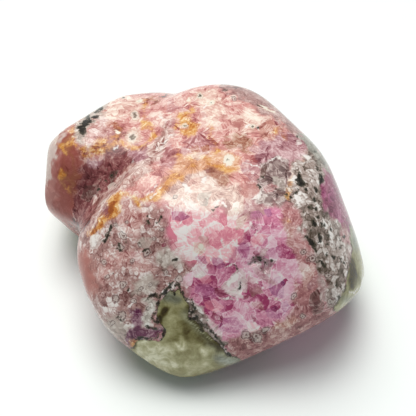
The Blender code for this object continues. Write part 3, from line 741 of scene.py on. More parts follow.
BLACK_FRONT = {
    "shoulder patch": [[(84, 131, 2.4), (85, 124, 2.8), (89, 118, 2.2)],
        [(95, 112, 1.6), (100, 107, 2), (104, 103, 1.2)], [(81, 128, 2.9), (83, 131, 3.4)],
        [(84, 127, 2.4), (88, 122, 2.6), (88, 117, 2.1)], [(83, 134, 1.6)],
        [(92, 119, 1.6), (97, 118, 2.1), (99, 116, 1.3)], [(100, 108, 2.2)],
        [(105, 103, 1.3), (109, 101, 1.3)], [(124, 98, 1.5)], [(90, 123, 1.1)]],
    # black specks in the groove, partly painted shade where the groove is darkest
    "groove specks and painted groove shade": [[(101, 178, 1.4)], [(106, 181, 1.2)], [(112, 175, 1.6)], [(117, 174, 1.4)],
        [(115, 185, 1.2)], [(99, 189, 1.4)], [(107, 170, 0.9)]],
    "dusty streak": [[(113, 224, 0.6), (110, 230, 0.9), (107, 237, 1.4), (104, 242, 1.7)],
        [(109, 241, 1.1)], [(118, 244, 1.4), (120, 249, 1.5)], [(117, 248, 1.1)], [(114, 245, 0.8)],
        [(124, 241, 0.7)], [(158, 222, 0.9), (162, 217, 0.9)], [(166, 253, 1.3)],
        [(173, 260, 0.9), (176, 259, 0.9)], [(143, 251, 0.9), (147, 249, 0.7), (151, 251, 0.9)],
        [(118, 316, 0.9), (122, 319, 1.5)], [(128, 290, 1)], [(146, 308, 0.9)], [(113, 273, 0.7)],
        [(137, 243, 0.8)], [(147, 216, 0.8), (150, 224, 0.9)], [(160, 268, 0.7), (166, 270, 0.8)]],
    "olive margin": [[(148, 299, 0.9), (152, 296, 1.7), (157, 295, 2)],
        [(160, 297, 1.1), (164, 293, 2.1), (168, 289, 1.7), (171, 285, 1.1)],
        [(173, 283, 1.2), (175, 287, 1.3)],
        [(177, 283, 1.3), (180, 285, 2.2), (181, 290, 1.1), (183, 296, 0.8)],
        [(175, 291, 1.6), (175, 295, 1.3)], [(160, 299, 0.9), (158, 305, 0.9), (157, 310, 1)],
        [(156, 311, 1.3), (154, 318, 1.3)], [(158, 318, 1.5), (157, 324, 1.5)],
        [(186, 299, 1.5), (190, 299, 1.7), (192, 304, 1.3)],
        [(189, 309, 1.7), (193, 307, 1.5), (192, 313, 2.4)], [(190, 318, 1.3), (196, 317, 1.7)],
        [(198, 320, 1), (204, 326, 0.9)], [(206, 323, 0.9), (212, 331, 1.1), (218, 338, 0.9), (224, 346, 1),
        (228, 352, 1.1)], [(216, 334, 1.5)], [(227, 351, 1.7), (231, 355, 1.1)],
        [(199, 324, 0.8), (204, 332, 0.9)], [(145, 325, 0.8), (150, 328, 1.5), (154, 330, 1.5)],
        [(156, 333, 1.1)], [(162, 329, 1.3), (163, 333, 1.7), (161, 338, 1.3)],
        [(135, 340, 1.1), (139, 338, 1.6), (146, 338, 1.5), (149, 338, 0.9)],
        [(151, 339, 0.6), (157, 338, 0.8), (160, 340, 0.8)]],
    # the black in the cavity and its slit is partly painted shade inside these hollows
    "cavity": [[(249, 261, 0.8)], [(253, 258, 1.4)], [(258, 258, 1.8), (262, 263, 2)], [(267, 266, 1.6)],
        [(256, 263, 0.9)], [(240, 284, 0.8), (239, 290, 1.1)], [(271, 263, 0.9)],
        [(235, 266, 1), (238, 271, 0.8)], [(262, 269, 0.7)]],
    "grey crystals": [[(258, 181, 0.7), (260, 188, 0.9)], [(262, 176, 0.8), (266, 180, 0.5)],
        [(286, 194, 1)], [(212, 212, 0.3), (218, 208, 0.5)], [(291, 196, 0.8)]],
    "crest dots": [[(253, 127, 0.6)], [(258, 128, 0.6)], [(201, 96, 0.8)],
        [(258, 104, 0.5), (262, 107, 0.8)], [(223, 88, 0.5), (228, 90, 0.5)], [(235, 99, 0.4)],
        [(162, 97, 1), (166, 95, 0.7)]],
    "lace specks": [[(298, 178, 2.7), (301, 184, 3.7)], [(299, 176, 2)], [(320, 174, 1.7), (322, 181, 2.1)],
        [(314, 187, 1.7), (315, 191, 1.7)], [(317, 166, 1.3), (318, 169, 1.5)], [(325, 164, 1)],
        [(315, 152, 1.5)], [(298, 136, 1.3)], [(313, 198, 1.3), (313, 202, 1.5)], [(297, 192, 1.3)],
        [(308, 208, 1.6), (312, 208, 1.3)], [(316, 209, 1.9)], [(312, 220, 1.7), (315, 224, 2.5)],
        [(322, 224, 2)], [(330, 229, 1.7)], [(319, 233, 1.5), (320, 241, 2)], [(327, 234, 1.4)],
        [(307, 238, 1.7), (310, 243, 3.2), (314, 248, 2.5)], [(346, 237, 1.5)], [(327, 245, 1.5)],
        [(341, 247, 1.3)], [(326, 255, 1.5)], [(333, 258, 1.6)], [(320, 261, 1.7), (325, 265, 2.7)],
        [(343, 263, 1.5)], [(311, 230, 1.1)], [(336, 285, 1.4)], [(338, 298, 1.5)], [(303, 212, 1)],
        [(334, 246, 1.1)], [(318, 217, 1)], [(340, 258, 1.1)], [(305, 188, 1.3)]],
}
WHITE_FRONT = {
    "white wedges": [[(244, 231, 0.6), (249, 226, 1.4), (254, 220, 0.8)], [(222, 239, 0.6), (225, 246, 1)],
        [(236, 240, 0.6), (237, 246, 1)], [(252, 199, 0.7), (260, 191, 0.6)],
        [(133, 160, 0.8), (133, 165, 0.7)], [(350, 291, 0.8), (354, 292, 1), (358, 290, 0.8)]],
    "needles": [[(245, 268, 0.5), (254, 278, 0.8), (266, 290, 0.5)],
        [(274, 270, 0.5), (279, 275, 0.9), (283, 280, 0.5)], [(290, 272, 0.4), (293, 281, 0.5)],
        [(218, 299, 0.5), (228, 300, 0.8), (240, 300, 0.5)],
        [(240, 301, 0.4), (250, 309, 0.6), (256, 313, 0.4)], [(186, 222, 0.4), (188, 238, 0.5)],
        [(191, 222, 0.3), (190, 236, 0.5)], [(155, 275, 0.3), (172, 276, 0.4)],
        [(244, 262, 0.3), (262, 266, 0.4)], [(268, 160, 0.4), (277, 157, 0.6), (285, 161, 0.4)],
        [(146, 196, 0.3), (156, 184, 0.5)], [(150, 198, 0.3), (163, 184, 0.5)],
        [(246, 128, 0.6), (253, 124, 1), (258, 129, 0.6)],
        [(172, 135, 0.5), (166, 142, 0.8), (160, 150, 0.5)], [(156, 146, 0.5), (160, 151, 0.8)],
        [(204, 108, 0.6), (212, 104, 1)], [(160, 116, 0.8), (163, 121, 1)],
        [(242, 163, 0.3), (260, 165, 0.5)], [(242, 169, 0.3), (256, 175, 0.4)],
        [(268, 300, 0.4), (284, 298, 0.5)], [(262, 270, 0.3), (270, 275, 0.4)],
        [(224, 268, 0.4), (236, 262, 0.5)], [(240, 316, 0.4), (252, 330, 0.4)],
        [(252, 223, 0.3), (256, 236, 0.5)], [(255, 234, 0.8), (261, 230, 0.6), (263, 222, 0.3)]],
    # the white patches on the shoulder, from 184,184 to 228,208, are a painted highlight
    "white patches and painted highlight": [[(228, 282, 2.6), (236, 276, 2.4)], [(240, 292, 1.4)], [(94, 236, 1.8), (95, 244, 2)],
        [(304, 155, 1.2), (309, 158, 1.2)], [(275, 298, 1)], [(184, 184, 1.6), (189, 190, 2.2)],
        [(201, 183, 1.2), (206, 179, 1.6)], [(296, 194, 1.4), (300, 205, 1.4)],
        [(190, 203, 1.8), (194, 208, 1.4)], [(222, 203, 1), (228, 208, 1.2)],
        [(115, 150, 0.6), (118, 147, 0.6)], [(287, 229, 0.7)]],
}


def all_chains(marks):
    """Every chain of a mineral, from all of its named places."""
    return [beads for chains in marks.values() for beads in chains]


print("chains on the front:", *(len(all_chains(marks)) for marks in (ORANGE_FRONT, BLACK_FRONT, WHITE_FRONT)))

# %% Marks round the back
# chains of beads on the skin: azimuth, elevation and radius in millimetres
ORANGE_BACK = [
    [(140, 40, 1.0), (134, 34, 2.0), (126, 30, 1.2), (118, 30, 0.6)],
    [(70, 40, 1.5), (62, 32, 2.4), (52, 28, 1.0)],
    [(95, 24, 0.7), (88, 14, 1.4), (80, 12, 0.6)],
    [(16, 4, 0.5), (22, -4, 1.2), (34, -8, 0.6)],
    [(176, 20, 1.2), (168, 12, 1.8), (160, 4, 0.8)],
    [(126, 12, 0.5), (122, 6, 1.2), (126, -2, 0.6)],
    [(108, -8, 0.6), (100, -14, 1.5), (88, -18, 0.7)],
    [(60, -2, 0.4), (54, -10, 0.9), (44, -12, 0.4)],
    [(-20, -12, 0.4), (-30, -16, 1.1), (-42, -18, 0.5)],
]
BLACK_BACK = [
    [(28, 18, 0.8), (23, 10, 1.3)], [(15, 4, 0.7)], [(30, 24, 1.0)], [(34, 14, 0.5)], [(18, 14, 0.6)],
    [(12, -2, 0.9), (9, -8, 0.6)], [(20, 0, 0.5)], [(4, -14, 0.7)], [(14, -12, 0.4)],
    [(122, -4, 0.5), (128, -10, 0.9), (130, -16, 0.4)], [(112, 2, 0.6)], [(104, -14, 0.7)],
    [(150, 14, 0.9), (153, 6, 1.2)], [(150, -4, 0.9)], [(147, -12, 0.6), (144, -15, 0.8)], [(156, 0, 0.5)],
    [(146, 4, 0.4)], [(158, 10, 0.5)], [(136, 24, 0.5), (139, 20, 0.7)], [(133, 12, 0.5)],
    [(62, 27, 0.6), (57, 26, 0.8)], [(48, 22, 0.5)], [(70, 31, 0.4)], [(-2, -20, 0.8)], [(-12, -22, 0.5)],
    [(60, -14, 0.6)], [(66, -16, 0.8)], [(74, -12, 0.4)], [(-150, -24, 0.6)], [(-132, -28, 0.5)],
    [(160, -18, 0.7)], [(172, -24, 0.5)],
]
WHITE_BACK = [
    [(90, -2, 0.5), (86, -8, 0.8), (84, -14, 0.3)], [(66, 8, 0.3), (58, 4, 0.5), (50, 6, 0.3)],
    [(76, 24, 0.3), (68, 18, 0.5)], [(44, 16, 0.3), (38, 8, 0.5)], [(108, 30, 0.4), (100, 26, 0.6)],
    [(148, 18, 0.3), (142, 10, 0.5)], [(114, 16, 0.6), (118, 10, 0.4)], [(60, 16, 0.3), (56, 10, 0.3)],
    [(-40, -22, 0.3), (-32, -20, 0.4)], [(170, 16, 0.3), (174, 8, 0.4)],
]
print("chains round the back:", len(ORANGE_BACK + BLACK_BACK + WHITE_BACK))

# %% Combine each mineral's marks
# Marks are small, so they fade before the rim, where the skin is seen too much edge on to draw them well.
MARKS_BEGIN, MARKS_END = 0.14, -0.02
marks_in_view = smooth_step(MARKS_END, MARKS_BEGIN, facing)


def mineral_field(front, back):
    """The depth inside a mineral's marks, on the front and round the back, in millimetres."""
    depths = np.full(count, NO_MARK)
    for beads in front:
        depths = np.maximum(depths, on_front(chain_depth(beads, drawn) * MM_PER_PIXEL, marks_in_view))
    for directions in back:
        beads = [(*on_skin(azimuth, elevation), radius) for azimuth, elevation, radius in directions]
        depths = np.maximum(depths, round_back(chain_depth(beads, wandered)))
    return depths


fields["orange"] = mineral_field(all_chains(ORANGE_FRONT), ORANGE_BACK)
fields["black"] = mineral_field(all_chains(BLACK_FRONT), BLACK_BACK)
fields["white"] = mineral_field(all_chains(WHITE_FRONT), WHITE_BACK)
for name in ("orange", "black", "white"):
    print(name, "covers", round(100 * float((fields[name] > 0).mean()), 1), "% of the skin")

# %% [markdown]
# ## Olive calcite
#
# The oldest, glassy calcite is olive green. It shows as a window low on the front with a cracked black
# margin, as a rim on the right, and in a few windows behind and near the foot. Its outline is firm, and its
# own tone runs from dark brown glass to cream.

# %% The olive windows
# outlines in the camera's frame
OLIVE_FRONT = [
    [(161, 300), (166, 295), (171, 289), (176, 291), (180, 288), (183, 297), (188, 304), (189, 316),
        (198, 322), (206, 331), (216, 342), (228, 353), (242, 360), (236, 392), (180, 392), (120, 380),
        (128, 352), (134, 343), (140, 340), (150, 340), (160, 342), (165, 334), (160, 325), (158, 310)],
    [(349, 226), (360, 236), (376, 270), (372, 300), (344, 318), (334, 310), (340, 298), (346, 286),
        (349, 268), (352, 250)],
]
# azimuth and elevation of each ball's centre, and the balls' radius in millimetres
OLIVE_BACK = [
    ([(6, -4), (0, -16), (-10, -22)], 6.5), ([(68, -24), (84, -28)], 6.5), ([(126, 20), (130, 14)], 2.6),
    ([(-98, -34), (-112, -30)], 9.0), ([(158, -22), (168, -26)], 4.0),
]
# tone from 0, dark brown glass, to 1, cream, with its softness and a chain of beads on the front
OLIVE_TONES = [
    (0.55, 1.0, [(176, 316, 12), (176, 332, 16)]),
    (0.05, 0.5, [(166, 310, 3), (162, 316, 3), (160, 322, 2)]),
    (0.47, 0.8, [(168, 298, 5), (174, 302, 6)]),
    (0.62, 0.6, [(172, 322, 5), (167, 342, 4)]),
    (0.22, 1.0, [(186, 324, 3), (188, 332, 4), (184, 338, 2)]),
    (0.41, 0.8, [(196, 336, 4), (204, 344, 4)]),
    (0.22, 0.8, [(212, 343, 3), (220, 348, 3)]),
    (0.92, 1.2, [(140, 350, 5), (156, 352, 7), (172, 350, 4)]),
    (0.97, 0.5, [(138, 344, 1), (147, 341, 1.2), (157, 343, 1.2), (162, 349, 1)]),
    (0.69, 0.5, [(144, 346, 1.5), (152, 346, 1.5)]),
    (0.92, 0.8, [(177, 344, 2.5), (184, 350, 3), (182, 338, 1)]),
    (0.87, 0.8, [(200, 346, 2), (206, 354, 3)]),
    (0.79, 1.5, [(140, 364, 6), (175, 366, 7), (206, 366, 5)]),
    (0.98, 1.0, [(146, 358, 3), (160, 360, 3), (174, 364, 3)]),
    (0.67, 1.0, [(184, 358, 3), (192, 358, 3)]),
    (0.26, 0.6, [(187, 308, 3), (196, 322, 4), (208, 336, 4.5), (222, 348, 4)]),
    (0.98, 0.2, [(188, 318, 0.3), (200, 330, 0.4), (212, 340, 0.3)]),
    (0.08, 0.4, [(135, 343, 1.6), (132, 348, 1.4)]),
    (0.73, 1.0, [(224, 358, 5), (232, 362, 4)]),
    (0.12, 0.8, [(351, 262, 3), (354, 276, 3.2), (353, 286, 3)]),
    (0.67, 0.6, [(362, 264, 2), (364, 286, 2)]),
    (0.87, 0.6, [(350, 293, 1.5), (360, 288, 1.2)]),
    (0.77, 0.6, [(344, 304, 4), (338, 310, 4)]),
]
# how far the glass turns grey green, with its softness and a chain of beads on the front
OLIVE_COOL = [
    (0.75, 1.0, [(168, 296, 6), (176, 300, 5)]), (0.5, 1.0, [(186, 312, 4), (196, 326, 4), (208, 338, 4)]),
    (0.9, 1.2, [(220, 358, 5), (238, 362, 6)]), (0.45, 1.0, [(210, 344, 4), (220, 350, 4)]),
    (0.9, 1.2, [(354, 232, 4), (356, 246, 4)]), (0.55, 1.0, [(344, 300, 4), (350, 300, 4)]),
    (0.4, 0.8, [(162, 318, 3)]),
]
print("olive windows:", len(OLIVE_FRONT + OLIVE_BACK))

# %% Depth and tone of the olive
PLAIN_TONE = 0.6
PLAIN_COOL = 0.15
olive = np.full(count, NO_MARK)
for outline in OLIVE_FRONT:
    olive = np.maximum(olive, on_front(outline_depth(outline, drawn) * MM_PER_PIXEL))
for directions, radius in OLIVE_BACK:
    beads = [(*on_skin(azimuth, elevation), radius) for azimuth, elevation in directions]
    olive = np.maximum(olive, round_back(chain_depth(beads, wandered)))
fields["olive"] = olive
for name, plain, steps in (("olive_tone", PLAIN_TONE, OLIVE_TONES), ("olive_cool", PLAIN_COOL, OLIVE_COOL)):
    fields[name] = np.full(count, plain)
    for target, softness, beads in steps:
        fields[name] += front_share(beads, softness) * (target - fields[name])
print("olive covers", round(100 * float((olive > 0).mean()), 1), "% of the skin")

# %% [markdown]
# ## Eyes
#
# Where a crystal grew round a seed, polishing cuts it into rings: a grey core in a white halo, or a dark
# ring with a pale heart. An eye is stored as a share of its radius, so one set of rings in the material
# serves every size.

# %% The eyes
# on the front: across, down and radius in the camera's frame
BRIGHT_EYES_FRONT = [
    (133, 137, 9.5), (201, 96, 4), (186, 126, 4.5), (236, 209, 3), (135, 115, 6), (187, 197, 2.2),
    (253, 127, 3.5), (275, 298, 2),
]
PALE_DISCS_FRONT = [(228, 160, 6.5), (200, 247, 4), (140, 101, 3.5), (190, 100, 3)]
DARK_EYES_FRONT = [
    (115, 226, 3.1), (122, 236, 4.3), (115, 298, 5.5), (122, 285, 4.3), (122, 315, 5.3), (147, 307, 2.9),
    (142, 290, 3.1), (180, 279, 5.0), (147, 253, 5.3), (311, 258, 5.5), (303, 251, 3.6), (329, 276, 4.3),
    (294, 297, 4.3), (303, 316, 3.8), (246, 335, 6.0), (258, 337, 6.6), (266, 330, 4.1), (332, 301, 5.3),
    (104, 262, 3.6), (132, 262, 3.1), (120, 246, 4.1), (176, 197, 2.9), (126, 222, 2.9), (112, 322, 3.6),
    (235, 99, 2.9), (108, 276, 3.1), (134, 300, 3.4), (150, 286, 2.9), (162, 231, 3.1), (154, 240, 2.9),
    (138, 244, 3.4), (166, 272, 4.1), (318, 246, 2.9),
]
# round the back: azimuth, elevation and radius in millimetres
BRIGHT_EYES_BACK = [
    (128, 12, 2.4), (72, 22, 1.8), (46, 22, 1.5), (160, 20, 1.6), (98, -4, 1.3), (20, -28, 1.5),
]
PALE_DISCS_BACK = [(84, 40, 1.6), (52, 34, 1.3), (150, 34, 1.5), (36, 0, 1.2), (-25, -20, 1.3)]
DARK_EYES_BACK = [
    (12, -16, 1.3), (4, -24, 1.0), (-8, -12, 0.9), (30, -18, 1.2), (112, -14, 1.1), (142, -12, 1.0),
    (170, -14, 1.2), (84, 30, 0.9), (-146, -18, 1.1), (-128, -22, 0.9), (-70, -30, 1.2), (-48, -28, 1.0),
]

NO_EYE = 9.0


def eye_share(front, back):
    """The distance to the nearest eye's centre, as a share of that eye's radius."""
    nearest = np.full(count, NO_EYE)
    for across, down, radius in front:
        off = np.hypot(drawn[:, 0] - across, drawn[:, 1] - down) / radius
        nearest = np.minimum(nearest, NO_EYE + (np.minimum(off, NO_EYE) - NO_EYE) * in_view)
    for azimuth, elevation, radius in back:
        nearest = np.minimum(nearest, np.linalg.norm(wandered - on_skin(azimuth, elevation), axis=1) / radius)
    return nearest


fields["bright_eyes"] = eye_share(BRIGHT_EYES_FRONT, BRIGHT_EYES_BACK)
fields["pale_discs"] = eye_share(PALE_DISCS_FRONT, PALE_DISCS_BACK)
fields["dark_eyes"] = eye_share(DARK_EYES_FRONT, DARK_EYES_BACK)
print("eyes:", len(BRIGHT_EYES_FRONT + DARK_EYES_FRONT + BRIGHT_EYES_BACK + DARK_EYES_BACK))

# %% Keep the fields on the skin
for name, values in fields.items():
    if values.ndim == 2:
        layer = skin.attributes.new(name, "FLOAT_COLOR", "POINT")
        layer.data.foreach_set("color", np.column_stack((values, np.ones(count))).ravel())
    else:
        layer = skin.attributes.new(name, "FLOAT", "POINT")
        layer.data.foreach_set("value", values)
print("fields kept:", ", ".join(fields))

# %% [markdown]
# ## Small relief
#
# A polish stops at every hollow. The little cavity, its slit, the open seam along the olive window and its
# mouth are sunk by less than a millimetre, each through its own vertex group and a Displace modifier. That
# leaves the rest of the skin untouched, where sculpting or a bump over everything would not.

# %% Sink the hollows
# name: depth in millimetres, softness, and a chain of beads in the camera's frame
HOLLOWS = {
    "cavity": (0.9, 0.5, [(250, 264, 1.5), (256, 261, 3), (262, 263, 3.5), (268, 268, 3)]),
    "slit": (0.5, 0.35, [(240, 283, 1.2), (240, 291, 1.4)]),
    "seam": (0.35, 0.4, [(196, 317, 1), (204, 328, 1.2), (212, 337, 1.2), (220, 343, 1), (228, 352, 0.8)]),
    "mouth": (0.5, 0.5, [(154, 332, 1.5), (161, 332, 2)]),
}
FULLY_IN_VIEW = 0.2
LEAST_SHARE = 0.01
select_only(stone)
for name, (sunk, softness, beads) in HOLLOWS.items():
    group = stone.vertex_groups.new(name=name)
    share = front_share(beads, softness) * (facing > FULLY_IN_VIEW)
    for index in np.nonzero(share > LEAST_SHARE)[0]:
        group.add([int(index)], float(share[index]), "REPLACE")
    hollow = stone.modifiers.new(name, "DISPLACE")
    hollow.strength = -sunk * MM
    hollow.mid_level = 0.0
    hollow.direction = "NORMAL"
    hollow.vertex_group = name
    bpy.ops.object.modifier_apply(modifier=name)
stone.vertex_groups.clear()
skin = stone.data
print("hollows sunk:", ", ".join(HOLLOWS))

# %% [markdown]
# ## The calcite
#
# Polished calcite is clear enough to show its grain a little way down: the crystals are sprays of blades,
# each spray fanning out from its own root, with pale cleavage between. The material builds that from solid
# patterns in millimetres: a coarse Voronoi parts the sprays, each gets a root a little off its middle, and
# patterns that change fast round the root and slowly away from it draw the blades and, finer still, the
# needles in them.

# %% One helper for nodes
calcite = bpy.data.materials.new("polished_cobaltoan_calcite")
calcite.use_nodes = True
calcite.node_tree.nodes.clear()


def add(kind, values=(), links=None, **settings):
    """Adds a node with its settings; values fill its open sockets in order or by name, and links them."""
    made = calcite.node_tree.nodes.new("ShaderNode" + kind)
    for name, setting in settings.items():
        setattr(made, name, setting)
    sockets = [socket for socket in made.inputs if socket.enabled]
    pairs = list(zip(sockets, values))
    pairs += [(next(socket for socket in sockets if socket.name == name), value)
              for name, value in (links or {}).items()]
    for socket, value in pairs:
        if isinstance(value, bpy.types.Node):
            value = next(output for output in value.outputs if output.enabled)
        if isinstance(value, bpy.types.NodeSocket):
            calcite.node_tree.links.new(value, socket)
        else:
            socket.default_value = value
    return made


print("calcite begun:", calcite.name)

# %% Places, sprays and blades
SWAY_PER_MM = 0.22
SWAY_REACH = 1.6
SPRAY = 5.5
SPRAY_SHIFT = 8.0
SPRAYS_APART = 60.0
MIDDLE = (0.5, 0.5, 0.5)  # of a pattern's colours


def shaken(place, source, reach):
    """A place shaken by a pattern's colour, centred on nought first, over a reach in millimetres."""
    centred = add("VectorMath", [source.outputs["Color"], MIDDLE], operation="SUBTRACT")
    return add("VectorMath", [centred, (reach,) * 3, place], operation="MULTIPLY_ADD")


coordinates = add("TexCoord")
in_mm = add("VectorMath", [coordinates.outputs["Object"]], {"Scale": 1 / MM}, operation="SCALE")
sway = add("TexNoise", (), {"Vector": in_mm, "Scale": SWAY_PER_MM, "Detail": 1.0})
bent = shaken(in_mm, sway, SWAY_REACH)

sprays = add("TexVoronoi", (), {"Vector": bent, "Scale": 1 / SPRAY})
spray_colour = add("SeparateColor", [sprays.outputs["Color"]])
root = shaken(sprays.outputs["Position"], sprays, SPRAY_SHIFT)
from_root = add("VectorMath", [bent, root], operation="SUBTRACT")
outward = add("NewGeometry")
rise = add("VectorMath", [from_root, outward.outputs["Normal"]], operation="DOT_PRODUCT")
lifted = add("VectorMath", [outward.outputs["Normal"]], {"Scale": rise}, operation="SCALE")
flat_off = add("VectorMath", [from_root, lifted], operation="SUBTRACT")
reach = add("VectorMath", [flat_off], operation="LENGTH")
heading = add("VectorMath", [flat_off], operation="NORMALIZE")


def fan(turns, per_mm, offset):
    """A place that changes fast round a spray's root and slowly along its blades, apart for each spray."""
    grown = add("Math", [reach, per_mm, turns], operation="MULTIPLY_ADD")
    spread = add("VectorMath", [heading], {"Scale": grown}, operation="SCALE")
    apart = add("VectorMath", [sprays.outputs["Color"]], {"Scale": offset}, operation="SCALE")
    return add("VectorMath", [spread, apart], operation="ADD")


print("sprays of", SPRAY, "mm, rooted up to", SPRAY_SHIFT / 2, "mm off their middle")

# %% Blades, needles and clouds
# sizes in millimetres
BLADE = 2.0
CLOUD = 4.0
GRAIN = 0.8
HUSH = 6.5
THREAD = 2.6
# how fast a pattern changes round the root, and for each millimetre along a blade
BLADE_TURNS, BLADE_STRETCH = (1.6, 3.6), 0.36
NEEDLE_TURNS, NEEDLE_STRETCH, NEEDLES_APART = 9.0, 0.25, 90.0
NOISE_SPAN = (0.3, 0.7)  # a noise seldom leaves it
chunk_shift = add("VectorMath", [sprays.outputs["Color"]], {"Scale": SPRAYS_APART}, operation="SCALE")
chunk_place = add("VectorMath", [bent, (1 / BLADE,) * 3, chunk_shift], operation="MULTIPLY_ADD")
fanned = add("Attribute", attribute_name="fanned")
is_fan = add("Math", [spray_colour.outputs[0], fanned.outputs["Fac"]], operation="LESS_THAN")
blade_turns = add("MapRange", [spray_colour.outputs[1], 0.0, 1.0, *BLADE_TURNS])
fan_place = fan(blade_turns, BLADE_STRETCH, SPRAYS_APART)
blade_place = add("Mix", [is_fan, chunk_place, fan_place], data_type="VECTOR")
blades = add("TexVoronoi", (), {"Vector": blade_place, "Scale": 1.0})
blade_edges = add("TexVoronoi", (), {"Vector": blade_place, "Scale": 1.0}, feature="DISTANCE_TO_EDGE")
needle_place = fan(NEEDLE_TURNS, NEEDLE_STRETCH, NEEDLES_APART)
needles = add("TexNoise", (), {"Vector": needle_place, "Scale": 1.0, "Detail": 2.0, "Roughness": 0.6})
clouds = add("TexNoise", (), {"Vector": in_mm, "Scale": 1 / CLOUD, "Detail": 4.0, "Roughness": 0.6})
fine = add("TexNoise", (), {"Vector": in_mm, "Scale": 1 / GRAIN, "Detail": 3.0, "Roughness": 0.65})
ragged = add("MapRange", [fine, *NOISE_SPAN, -0.6, 0.6])
hush = add("TexNoise", (), {"Vector": in_mm, "Scale": 1 / HUSH, "Detail": 2.0})
threads = add("TexNoise", (), {"Vector": bent, "Scale": 1 / THREAD, "Detail": 4.0, "Roughness": 0.6})
print("blades of", BLADE, "mm, clouds of", CLOUD, "mm and grain of", GRAIN, "mm")

# %% Stripes inside a crystal
# Cleavage shows as straight stripes, each crystal's in a direction of its own: noise along one line does it.
blade_colour = add("SeparateColor", [blades.outputs["Color"]])
facet_way = add("VectorMath", [blades.outputs["Color"], MIDDLE], operation="SUBTRACT")
stripe_way = add("VectorMath", [facet_way], operation="NORMALIZE")
in_blade = add("VectorMath", [blade_place, blades.outputs["Position"]], operation="SUBTRACT")
# Each crystal is painted lighter towards one side and darker towards the other: painted shade, as if it were
# a tilted facet.
painted_facet_shade = add("VectorMath", [in_blade, facet_way], operation="DOT_PRODUCT")
stripe_along = add("VectorMath", [in_blade, stripe_way], operation="DOT_PRODUCT")
STRIPES = 5.5  # from one side of a crystal to the other
STRIPED_SHARE = 0.6
STRIPES_APART = 50.0
stripe_start = add("Math", [blade_colour.outputs[0], STRIPES_APART], operation="MULTIPLY")
stripe_at = add("Math", [stripe_along, STRIPES, stripe_start], operation="MULTIPLY_ADD")
stripes = add("TexNoise", (), {"W": stripe_at, "Scale": 1.0, "Detail": 1.0}, noise_dimensions="1D")
stripe_swing = add("MapRange", [stripes, 0.36, 0.64, -0.32, 0.48])
stripe_there = add("Math", [blade_colour.outputs[2], STRIPED_SHARE], operation="LESS_THAN")
stripe_part = add("Math", [stripe_swing, stripe_there], operation="MULTIPLY")
print(round(100 * STRIPED_SHARE), "% of the crystals are striped")

# %% Shade of the crystals
by_blade = add("Math", [blade_colour.outputs[0], 0.80, -0.40], operation="MULTIPLY_ADD")
# the painted facet shade goes into the crystal's tone here
with_painted_facet_shade = add("Math", [painted_facet_shade, 0.8, by_blade], operation="MULTIPLY_ADD")
flash = add("MapRange", [blade_colour.outputs[1], 0.86, 0.90, 0.0, 0.42])
by_flash = add("Math", [with_painted_facet_shade, flash], operation="ADD")
needle_swing = add("MapRange", [needles, 0.34, 0.66, -0.34, 0.46])
inner_lines = add("Mix", [is_fan, stripe_part, needle_swing], data_type="FLOAT")
by_needle = add("Math", [by_flash, inner_lines], operation="ADD")
clearness = add("MapRange", [hush, 0.38, 0.62, 0.45, 1.10])
by_clear = add("Math", [by_needle, clearness], operation="MULTIPLY")
cloud_swing = add("MapRange", [clouds, *NOISE_SPAN, -0.36, 0.36])
by_cloud = add("Math", [by_clear, cloud_swing], operation="ADD")
edge_line = add("MapRange", [blade_edges, 0.01, 0.08, 1.0, 0.0], interpolation_type="SMOOTHSTEP")
edge_mask = add("MapRange", [clouds, 0.46, 0.60, 0.0, 0.55])
edge_shine = add("Math", [edge_line, edge_mask], operation="MULTIPLY")
by_edge = add("Math", [edge_shine, 0.85, by_cloud], operation="MULTIPLY_ADD")
crystal_field = add("Attribute", attribute_name="crystal")
crystal_cut = add("Math", [ragged, 0.15, crystal_field.outputs["Fac"]], operation="MULTIPLY_ADD")
crystal_cover = add("MapRange", [crystal_cut, -0.06, 0.06, 0.0, 1.0])
crystal_fade = add("MapRange", [threads, 0.36, 0.60, 0.92, 0.42])
crystal_share = add("Math", [crystal_cover, crystal_fade], operation="MULTIPLY")
calm = add("MapRange", [crystal_share, 0.0, 1.0, 1.0, 0.80])
by_calm = add("Math", [by_edge, calm], operation="MULTIPLY")
border_off = add("Math", [crystal_field.outputs["Fac"]], operation="ABSOLUTE")
BORDER, BORDER_GLOW = 0.03, 0.16
border_line = add("MapRange", [border_off, BORDER, BORDER_GLOW, 0.50, 0.0], interpolation_type="SMOOTHSTEP")
border_mask = add("MapRange", [clouds, 0.42, 0.58, 0.0, 1.0])
border_shine = add("Math", [border_line, border_mask], operation="MULTIPLY")
small_shade = add("Math", [border_shine, by_calm], operation="ADD")
print("a single crystal's border glows over", BORDER_GLOW, "mm")

# %% Broad crystals
# The brightest zones are coarser: jagged crystals, each of nearly one tone, with bright lines between.
BROAD = 4.2
JAG = 1.8
JAG_REACH = 1.1
broad = add("Attribute", attribute_name="broad")
shake = add("TexNoise", (), {"Vector": in_mm, "Scale": 1 / JAG, "Detail": 1.0})
jagged = shaken(in_mm, shake, JAG_REACH)
broad_cells = add("TexVoronoi", (), {"Vector": jagged, "Scale": 1 / BROAD})
broad_edges = add("TexVoronoi", (), {"Vector": jagged, "Scale": 1 / BROAD}, feature="DISTANCE_TO_EDGE")
broad_pick = add("SeparateColor", [broad_cells.outputs["Color"]])
broad_off = add("VectorMath", [jagged, broad_cells.outputs["Position"]], operation="SUBTRACT")
broad_way = add("VectorMath", [broad_cells.outputs["Color"], MIDDLE], operation="SUBTRACT")
